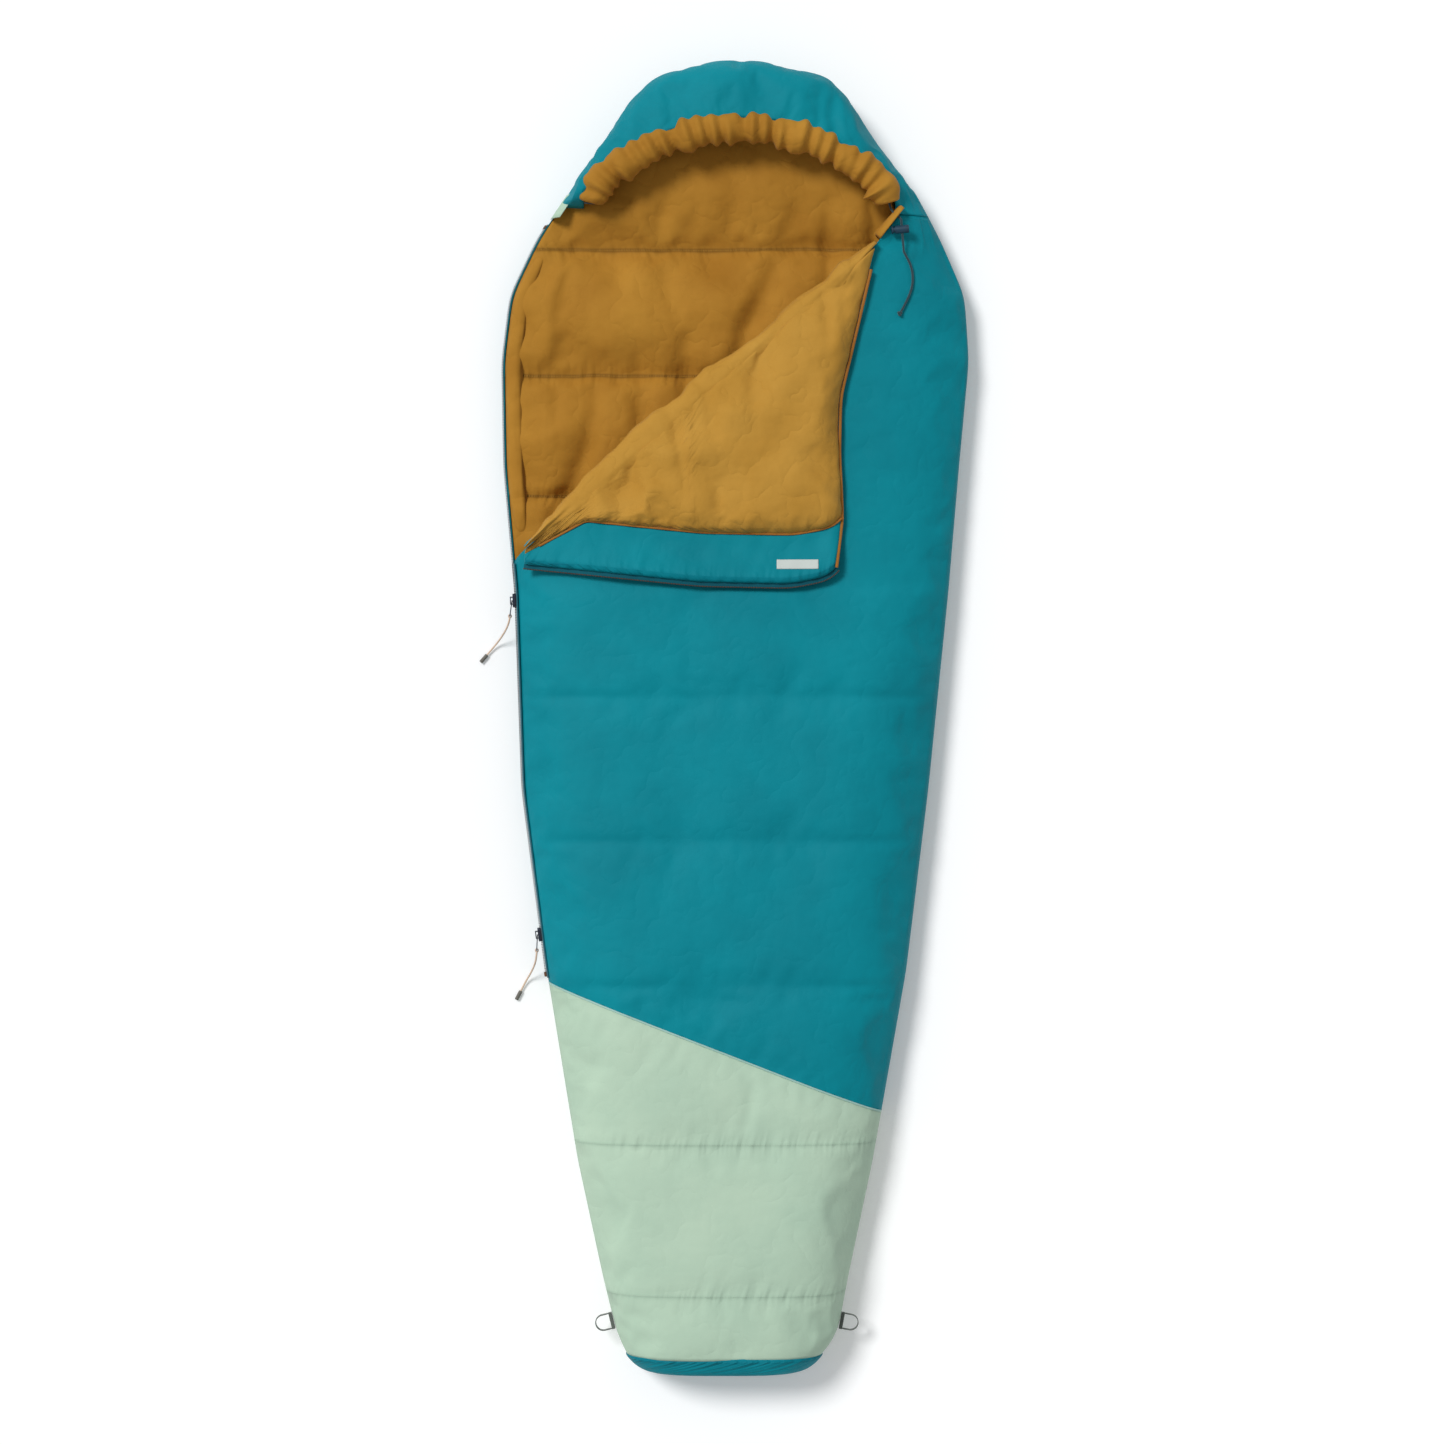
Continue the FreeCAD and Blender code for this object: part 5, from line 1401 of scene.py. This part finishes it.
inner_side = 0.65 + 0.35 * np.cos(turn - math.pi * 0.75)[None, :]
widened = 1.02 + 0.28 * np.clip(-np.cos(turn), 0, 1)[None, :]
radius = RIM_RADIUS * (widened + 0.10 * gathers * inner_side)
radius *= (0.72 + 0.28 * rounded(np.minimum(along, along[-1] - along), 0.03))[:, None]
spokes = outward[:, None, :] * np.cos(turn)[None, :, None] + upward[:, None, :] * np.sin(turn)[None, :, None]
rim_points = centre[:, None, :] + radius[..., None] * spokes
rim_points = np.concatenate([rim_points, rim_points[:, :1]], axis=1)
hood_rim = sheet("gathered_hood_rim", rim_points, closed=True)
dress(hood_rim, gold, "bag", ("hood_rim_tube",), True)

# %% [markdown]
# Inside the hood, the lining goes from under the rim outwards and down to the lining the head
# lies on. It's the dark hollow seen behind the rim.

# %% Hood lining
UNDER_RIM = 0.016
ON_LINING = 0.003
s = np.linspace(0, 1, 16)[None, :]
angles = np.linspace(rim_angle[0] - 0.03, rim_angle[-1], 90)
inner = np.interp(angles, rim_angle, rim_reach)[:, None] + 0.004
outer = np.interp(angles, outer_angle, outer_reach)[:, None] - SIDE_LOFT
reach = inner + np.maximum(outer - inner, 0.006) * np.sin(s * math.pi / 2)
plan = ray(angles[:, None] + 0 * s, reach)
ceiling_z = np.interp(angles, rim_angle, rim_centre[:, 2])[:, None] - UNDER_RIM
z = seam_z + ON_LINING + (ceiling_z - seam_z - ON_LINING) * np.cos(s * math.pi / 2)
z += 0.003 * waves(plan[..., 0] * 1.5, plan[..., 1], 27, 0.08) * np.sin(s * math.pi)
hood_inside = sheet("hood_inside_lining", np.dstack([plan, z]), down=True)
dress(hood_inside, gold, "bag", ("hood_lining",), True, CLOTH_THICKNESS)

# %% [markdown]
# The foot end is closed by its own panel of teal cloth, sewn across the tube like the end of
# a bolster. Rings of the bag's section, each a little smaller and further out, make the dome.

# %% Foot end panel
DOME = (
    (0.038, 0.97), (0.033, 0.992), (0.0285, 1.010), (0.0255, 1.012), (0.021, 0.985), (0.015, 0.95),
    (0.009, 0.90), (0.004, 0.84), (0.0012, 0.75), (0.0005, 0.55), (0.0005, 0.25), (0.0005, 0.02),
)
DOME_POINTS = 72
middle, half = across_at(PANEL_FOOT)
right = side_x(PANEL_FOOT, 1)
top_x = np.interp(np.linspace(-1, 1, DOME_POINTS // 2 + 1), table_t, table_u) * half + middle
top_line = np.stack([top_x, shell_z(top_x, PANEL_FOOT)], axis=1)
corner = []
for turn in np.linspace(0, math.pi / 2, 10)[1:]:
    corner.append((right - TUCK * (1 - math.cos(turn)), seam_z * (1 - math.sin(turn)) + 0.0005))
bottom_line = np.array(corner + [(2 * middle - x, z) for x, z in corner[::-1]])
section = resampled(np.concatenate([top_line, bottom_line, top_line[:1]]), 0.011)
heart = np.array([middle, crown(PANEL_FOOT) / 2])
dome_points = []
for depth, share in DOME:
    flat = heart + (section - heart) * share
    dome_points.append(np.stack([flat[:, 0], np.full(len(flat), foot_y + depth), flat[:, 1]], axis=1))
# from_sewing draws the sewn ring of the cap, with painted shade along it.
from_sewing = np.abs(np.array(DOME)[:, :1] - 0.026)
foot_cap = sheet("foot_end_cap", np.array(dome_points), from_sewing, closed=True)
dress(foot_cap, teal, "bag", ("foot_end_panel", "foot_end_insulation"), True)
print("foot cap rings", len(DOME))

# %% [markdown]
# Trims that sit on the cloth: the piping in the slanting seam, the bound neck edge and the
# cord let into the flap's lower edge. Each is a thin tube. The piping is laid on the finished
# cover by dropping rays onto it; the other two sit at set heights above the flap's underside.

# %% Piping and binding
def tube(name, points, radius, sides=5):
    """A closed tube along points; the curve is made a mesh and the curve is removed."""
    curve = bpy.data.curves.new(name + "_line", "CURVE")
    curve.dimensions = "3D"
    curve.bevel_depth = radius
    curve.bevel_resolution = sides
    curve.use_fill_caps = True
    spline = curve.splines.new("POLY")
    spline.points.add(len(points) - 1)
    for control, point in zip(spline.points, points):
        control.co = (*point, 1.0)
    holder = bpy.data.objects.new(name + "_line", curve)
    mesh = bpy.data.meshes.new_from_object(holder)
    mesh.name = name
    bpy.data.objects.remove(holder)
    bpy.data.curves.remove(curve)
    mesh.materials.clear()
    if not mesh.uv_layers:
        mesh.uv_layers.new(name="UVMap")
    mesh.uv_layers[0].name = "UVMap"
    piece = bpy.data.objects.new(name, mesh)
    bpy.context.collection.objects.link(piece)
    for polygon in mesh.polygons:
        polygon.use_smooth = True
    distance = mesh.attributes.new("seam", "FLOAT", "POINT")
    distance.data.foreach_set("value", np.ones(len(mesh.vertices), np.float32))
    return piece


def dropped(x, y, lift):
    """The point of the finished top cover under (x, y), raised by lift."""
    hit = top_tree.ray_cast(Vector((x, y, 1.0)), Vector((0, 0, -1)))[0]
    return None if hit is None else Vector((x, y, hit.z + lift))


PIPING_RADIUS = 0.0016
reach = np.linspace(-0.05, (seam_b - seam_a).length + 0.05, 260)  # starts and ends beyond the cloth
seam_line = [dropped(*(seam_a + seam_run * t).xy, PIPING_RADIUS * 0.4) for t in reach]
seam_line = [p for p in seam_line if p is not None]
seam_piping = tube("foot_seam_piping_cord", seam_line, PIPING_RADIUS)
dress(seam_piping, piping_cloth, replaces=("foot_seam_piping",))

BINDING_RADIUS = 0.0024
binding_plan = curve_through(neck_points, 110)[:-9]
outward = unit(np.gradient(binding_plan, axis=0)) @ np.array([[0, -1], [1, 0]])
binding_plan = binding_plan + outward * 0.0010
binding_z = flap_base(binding_plan[:, 0], binding_plan[:, 1]) + 0.007
binding_z += 0.0012 * waves(binding_plan[:, 0], binding_plan[:, 1], 2, 0.05)
neck_binding = tube("flap_neck_piping", np.column_stack([binding_plan, binding_z]), BINDING_RADIUS)
dress(neck_binding, binding_cloth, "flap", ("flap_neck_binding",))

edge_z = flap_base(gold_edge[:, 0], gold_edge[:, 1]) + FACING_LOFT + 0.0008
gold_edge_piping = tube("flap_lower_piping", np.column_stack([gold_edge, edge_z])[3:], 0.0017)
dress(gold_edge_piping, binding_cloth, "flap")

# %% [markdown]
# A coil zip is a woven tape with a nylon coil sewn along its edge. One coil turn is modelled
# with a primitive, shaped in edit mode, and copied along the tape at a steady pitch. The tapes
# follow the side seam, and the free half goes along the flap's edge.

# %% Zip tapes
ZIP_FOOT, ZIP_OPEN, ZIP_HEAD = 0.630, 1.295, 1.840
TAPE_HEIGHT = 0.013
TAPE_OUT = 0.0009
HALF_GAP = 0.0003


def side_line(start, stop, out, z, count=160):
    """Points beside the left outline, out from it, at height z."""
    ys = np.linspace(start + foot_y, stop + foot_y, count)
    xs = side_x(ys, -1)
    run = unit(np.stack([np.gradient(xs), np.gradient(ys)], axis=1))
    return np.column_stack([xs - run[:, 1] * out, ys + run[:, 0] * out, np.full(count, z)])


def side_tape(name, stop, low, high, lean, replaces):
    """Tape along the side seam from the zip's foot end; lean is how far it leans in with height."""
    strips = []
    for z in np.linspace(low, high, 5):
        inset = lean * (abs(z - seam_z) / TAPE_HEIGHT) ** 2
        strips.append(side_line(ZIP_FOOT, stop, TAPE_OUT - inset, z))
    points = np.array(strips)
    rows, columns = points.shape[:2]
    faces = grid_faces(rows, columns)
    piece = new_mesh(name, points.reshape(-1, 3), faces, metric_uv(points), np.ones(rows * columns))
    dress(piece, tape_cloth, "bag", (replaces,), thickness=THIN_CLOTH)


side_tape("zip_lower_tape", ZIP_HEAD, seam_z - TAPE_HEIGHT, seam_z - HALF_GAP, 0.0012, "zip_tape_bottom")
side_tape("zip_upper_tape", ZIP_OPEN, seam_z + HALF_GAP, seam_z + TAPE_HEIGHT, 0.0035, "zip_tape_top")

zip_run = unit(np.gradient(zip_line, axis=0))
footward = np.stack([zip_run[:, 1], -zip_run[:, 0]], axis=1)
FLAP_TAPE_SHARE = 0.62
tape_rows = []
for share in np.linspace(-0.3, FLAP_TAPE_SHARE, 6):
    plan = zip_line + footward * share * TAPE_HEIGHT
    tape_z = flap_base(plan[:, 0], plan[:, 1]) + 0.0012 + 0.0008 * max(share, 0)
    tape_rows.append(np.column_stack([plan, tape_z]))
dress(sheet("flap_zip_tape_cloth", np.array(tape_rows)), tape_cloth, "flap",
      ("flap_zip_tape",), thickness=THIN_CLOTH)

# %% [markdown]
# The coil is one continuous nylon wire on a real zip. At this size only the row of its turns
# can be seen, so each turn is a small flattened bead, set square to the tape.

# %% Coil teeth
PITCH = 0.0026
COIL_OUT = 0.0027
COIL_FOOT, COIL_HEAD = 0.640, 1.832
deselect()
bpy.ops.mesh.primitive_uv_sphere_add(segments=8, ring_count=5, radius=0.001)
tooth = bpy.context.active_object
bpy.ops.object.mode_set(mode="EDIT")
bpy.ops.mesh.select_all(action="SELECT")
bpy.ops.transform.resize(value=(1.25, 0.85, 1.15))
bpy.ops.object.mode_set(mode="OBJECT")
tooth_co = coordinates(tooth)
tooth_faces = [tuple(p.vertices) for p in tooth.data.polygons]
bpy.data.objects.remove(tooth)


def coil(name, line, body, replaces, finish):
    """Copies of the coil turn along a line, each turned to it."""
    line = resampled(line, PITCH)
    run = unit(np.gradient(line[:, :2], axis=0))
    points, faces = [], []
    tooth_x, tooth_y, tooth_z = tooth_co.T
    for k, (p, r) in enumerate(zip(line, run)):
        turned = [-r[1] * tooth_x + r[0] * tooth_y, r[0] * tooth_x + r[1] * tooth_y, tooth_z]
        points.append(np.column_stack(turned) + p)
        faces += [tuple(i + k * len(tooth_co) for i in f) for f in tooth_faces]
    points = np.concatenate(points)
    piece = new_mesh(name, points, faces, np.zeros((len(points), 2)), np.ones(len(points)))
    return dress(piece, finish, body, replaces)


lower_coil_line = side_line(COIL_FOOT, COIL_HEAD, COIL_OUT, seam_z - 0.0012)
upper_coil_line = side_line(COIL_FOOT, ZIP_OPEN, COIL_OUT, seam_z + 0.0013)
coil("zip_lower_coil", lower_coil_line, "bag", ("zip_coil_bottom",), side_coil_plastic)
coil("zip_upper_coil", upper_coil_line, "bag", ("zip_coil_top",), side_coil_plastic)
flap_coil_plan = zip_line + footward * (TAPE_HEIGHT * FLAP_TAPE_SHARE - 0.0010)
flap_coil_z = flap_base(flap_coil_plan[:, 0], flap_coil_plan[:, 1]) + 0.0035
coil("flap_coil", np.column_stack([flap_coil_plan, flap_coil_z]), "flap", ("flap_zip_coil",), coil_plastic)

# %% [markdown]
# A padded tube behind the open zip keeps draughts out, and a mint tab covers the zip's head
# end at the hood. On the flap's facing sits a blank woven label, where a maker's would be.

# %% Draught tube, zip cover and label
DRAUGHT = (1.345, 1.790)
DRAUGHT_WIDTH = 0.028
DRAUGHT_RISE = 0.0105
COVER_TURN, COVER_IN, COVER_RISE = math.radians(62), 0.030, 0.034
LABEL_THICKNESS = 0.0009
ys = np.linspace(DRAUGHT[0] + foot_y, DRAUGHT[1] + foot_y, 90)
across = np.linspace(-1, 1, 13)
centre_line = side_x(ys, -1) + 0.003 + DRAUGHT_WIDTH / 2
ends = rounded(np.minimum(ys - ys[0], ys[-1] - ys), 0.070)
x = centre_line[:, None] + across[None, :] * DRAUGHT_WIDTH / 2 * (0.3 + 0.7 * ends[:, None])
y = np.broadcast_to(ys[:, None], x.shape)
arch = np.sqrt(np.clip(1 - across ** 2, 0, 1))[None, :]
height = DRAUGHT_RISE * arch * (0.12 + 0.88 * ends[:, None]) * (1 + 0.13 * waves(x * 0.2, y, 6, 0.035))
tube_top = np.dstack([x, y, seam_z + 0.001 + height])
tube_bottom = np.dstack([x, y, np.full_like(x, seam_z - 0.001)])
# from_tube_seam draws the tube's sewn line, with painted shade along it.
from_tube_seam = np.abs(x - centre_line[:, None] - 0.011) + 0.001
draught = pillow("draught_tube_padding", tube_top, tube_bottom, from_tube_seam)
dress(draught, gold, "bag", ("draught_tube",), True)

garage_low, garage_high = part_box("zip_garage")
ys = np.linspace(garage_low.y, garage_high.y, 22)
rows = []
for share in np.linspace(0, 1, 12):
    turn = share * COVER_TURN
    x = side_x(ys, -1) - 0.0022 + COVER_IN * (1 - math.cos(turn))
    rows.append(np.column_stack([x, ys, np.full_like(ys, seam_z + 0.001 + COVER_RISE * math.sin(turn))]))
rows = np.array(rows)
# Its seam values draw a sewn line at the cover's foot end, with painted shade along it.
garage = sheet("zip_head_cover", rows, np.abs(rows[..., 1] - garage_low.y - 0.003) + 0.0004)
dress(garage, mint, "bag", ("zip_garage",), True, 0.0012)

label_low, label_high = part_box("blank_label")
xs = np.linspace(label_low.x, label_high.x, 34)
ys = np.linspace(label_low.y, label_high.y, 10)
gx, gy = np.meshgrid(xs, ys)
facing_tree = tree_of(flap_facing)
gz = np.zeros_like(gx)
for i in np.ndindex(gx.shape):
    hit = facing_tree.ray_cast(Vector((gx[i], gy[i], 1.0)), Vector((0, 0, -1)))[0]
    gz[i] = (hit.z if hit else FLAP_BASE + FACING_LOFT) + 0.0011
label = sheet("blank_woven_label", np.dstack([gx, gy, gz]))
dress(label, label_cloth, "flap", ("blank_label",), thickness=LABEL_THICKNESS)

# %% [markdown]
# Inside the cord lock a steel coil spring pushes the plunger up. It's a wire wound round the
# press axis, between the barrel's floor and the plunger.

# %% Cord lock spring
SPRING_WIRE = 0.0004
SPRING_TURNS = 3
TURN_POINTS = 16
spring_node = nodes["cord_lock_spring"]
press_way = Vector(joints["lock_press"]["axis"]).normalized()
spring_place = spring_node.matrix_world
spring_co = coordinates(spring_node) @ np.array(spring_place.to_3x3()).T + np.array(spring_place.translation)
heights_along = spring_co @ np.array(press_way)
spring_low, spring_high = float(heights_along.min()), float(heights_along.max())
flat_co = spring_co - heights_along[:, None] * np.array(press_way)
first_side = press_way.orthogonal().normalized()
second_side = press_way.cross(first_side)
sides = flat_co @ np.array([first_side, second_side]).T
spring_heart = (sides.max(axis=0) + sides.min(axis=0)) / 2
spring_radius = float((sides.max(axis=0) - sides.min(axis=0)).mean()) / 2 - SPRING_WIRE
spring_length = spring_high - spring_low
wire_points = []
steps = SPRING_TURNS * TURN_POINTS
for k in range(steps + 1):
    turn = 2 * math.pi * k / TURN_POINTS
    climb = spring_low + SPRING_WIRE + (spring_length - 2 * SPRING_WIRE) * k / steps
    wire_points.append(press_way * climb
                       + first_side * (spring_heart[0] + spring_radius * math.cos(turn))
                       + second_side * (spring_heart[1] + spring_radius * math.sin(turn)))
lock_spring = tube("lock_spring_coil", wire_points, SPRING_WIRE)
dress(lock_spring, spring_steel, body_of(spring_node)[0], ("cord_lock_spring",))
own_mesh(lock_spring)
print("spring", round(spring_length * 1000, 2), "mm long, radius", round(spring_radius * 1000, 2), "mm")

# %% [markdown]
# The pulls are tied to their tabs through the eye, so each gets a small ring of the same cord.
# The drawcord's tail ends in an overhand knot: a trefoil, drawn up tight.

# %% Cord ties and knot
TIE_RADIUS, TIE_CORD = 0.0024, 0.0009
KNOT_CORD = 0.00155


def ring_line(centre, axis_a, axis_b, radius, count=28):
    turns = np.linspace(0, 2 * math.pi, count)
    return [centre + axis_a * (radius * math.cos(t)) + axis_b * (radius * math.sin(t)) for t in turns]


def tie(name, end, heading, body):
    across = Vector((-heading.y, heading.x, 0))
    piece = tube(name, ring_line(end - heading * 0.0008, heading, across, TIE_RADIUS), TIE_CORD, 3)
    close_up(piece)
    return dress(piece, cord_braid, body)


tie("top_cord_tie", top_tab_end, top_heading, "top_puller")
tie("bottom_cord_tie", bottom_tab_end, bottom_heading, "bottom_puller")

knot_low, knot_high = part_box("tail_knot")
knot_centre = (knot_low + knot_high) / 2
KNOT_SIZE = 0.00095
knot_line = []
for t in np.linspace(0, 2 * math.pi, 90):
    knot_line.append(knot_centre + Vector((
        KNOT_SIZE * (math.sin(t) + 2 * math.sin(2 * t)),
        KNOT_SIZE * (math.cos(t) - 2 * math.cos(2 * t)),
        -KNOT_SIZE * 1.3 * math.sin(3 * t))))
knot = tube("drawcord_knot", knot_line, KNOT_CORD, 4)
close_up(knot)
dress(knot, drawcord_braid, replaces=("tail_knot",))

dress(top_cord, cord_braid, "top_puller", ("top_pull_cord",))
dress(bottom_cord, cord_braid, "bottom_puller", ("bottom_pull_cord",))
dress(tail_cord, drawcord_braid, "bag", ("drawcord_tail",))

# %% [markdown]
# The hard parts keep the shapes they have in the frame, where they are cut to the tenth of a
# millimetre. They only get their finishes.

# %% Finishes for the frame's own parts
FINISHES = {
    enamel: ("top_slider", "top_pull_tab", "bottom_slider", "bottom_pull_tab"),
    coil_plastic: ("zip_bottom_stop", "zip_top_stop"),
    grip_rubber: ("top_pull_grip", "bottom_pull_grip"),
    lock_plastic: ("cord_lock_barrel", "cord_lock_plunger"),
    spring_steel: ("cord_lock_spring",),
    webbing: ("foot_loop_left", "foot_loop_left_tab", "foot_loop_right", "foot_loop_right_tab"),
    drawcord_braid: ("hood_drawcord", "drawcord_anchor"),
}
finished = set()
for material, names in FINISHES.items():
    finished |= set(names)
    for name in names:
        for material_slot in nodes[name].material_slots:
            material_slot.material = material
print("nodes still plain:", [n for n, o in nodes.items() if not o.hide_render and n not in finished])

# %% [markdown]
# The floor is a plain pale sheet. The light is one broad lamp from the upper left and an even
# pale sky, at a level where a colour shows about as it's written. Seen by the camera, the
# floor adds a little light of its own, so it reads as white while it keeps the soft shadow.

# %% Floor and light
FLOOR_HALF = 30.0
FLOOR_GLOW = 0.14
SKY_LEVEL, LAMP_LEVEL = 0.44, 2.15
LAMP_WIDTH = math.radians(18)
floor_mesh = bpy.data.meshes.new("floor")
corners = [(x * FLOOR_HALF, y * FLOOR_HALF, 0) for x, y in ((-1, -1), (1, -1), (1, 1), (-1, 1))]
floor_mesh.from_pydata(corners, [], [(0, 1, 2, 3)])
floor = bpy.data.objects.new("floor", floor_mesh)
bpy.context.collection.objects.link(floor)
floor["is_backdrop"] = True
paper, tree, shader = start_material("white paper floor")
shader.inputs["Base Color"].default_value = (0.92, 0.92, 0.92, 1)
shader.inputs["Roughness"].default_value = 0.9
shader.inputs["Specular IOR Level"].default_value = 0.1
shader.inputs["Emission Color"].default_value = (1, 1, 1, 1)
path = tree.nodes.new("ShaderNodeLightPath")
seen = math_node(tree, "ADD", path.outputs["Is Camera Ray"], path.outputs["Is Glossy Ray"], clamp=True)
seen = math_node(tree, "ADD", seen, path.outputs["Is Transmission Ray"], clamp=True)
tree.links.new(math_node(tree, "MULTIPLY", seen, FLOOR_GLOW), shader.inputs["Emission Strength"])
floor_mesh.materials.append(paper)

world = bpy.data.worlds.new("pale sky")
world.use_nodes = True
world.node_tree.nodes["Background"].inputs["Color"].default_value = (0.96, 0.98, 1.0, 1)
world.node_tree.nodes["Background"].inputs["Strength"].default_value = SKY_LEVEL
bpy.context.scene.world = world

SUN_FROM = Vector((-0.55, 0.50, 0.98))
sun_data = bpy.data.lights.new("broad lamp", "SUN")
sun_data.energy = LAMP_LEVEL
sun_data.angle = LAMP_WIDTH
sun = bpy.data.objects.new("broad lamp", sun_data)
sun.rotation_euler = SUN_FROM.to_track_quat("Z", "Y").to_euler()
bpy.context.collection.objects.link(sun)
bpy.context.scene.view_settings.view_transform = "Standard"

seen_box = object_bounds()
for axis in range(3):
    side = cad_box[1][axis] - cad_box[0][axis]
    spare = 0.03 * side + 0.010
    past = max(cad_box[0][axis] - seen_box[0][axis], seen_box[1][axis] - cad_box[1][axis])
    print("XYZ"[axis], "past the frame by", round(past * 1000, 1), "mm of", round(spare * 1000, 1))
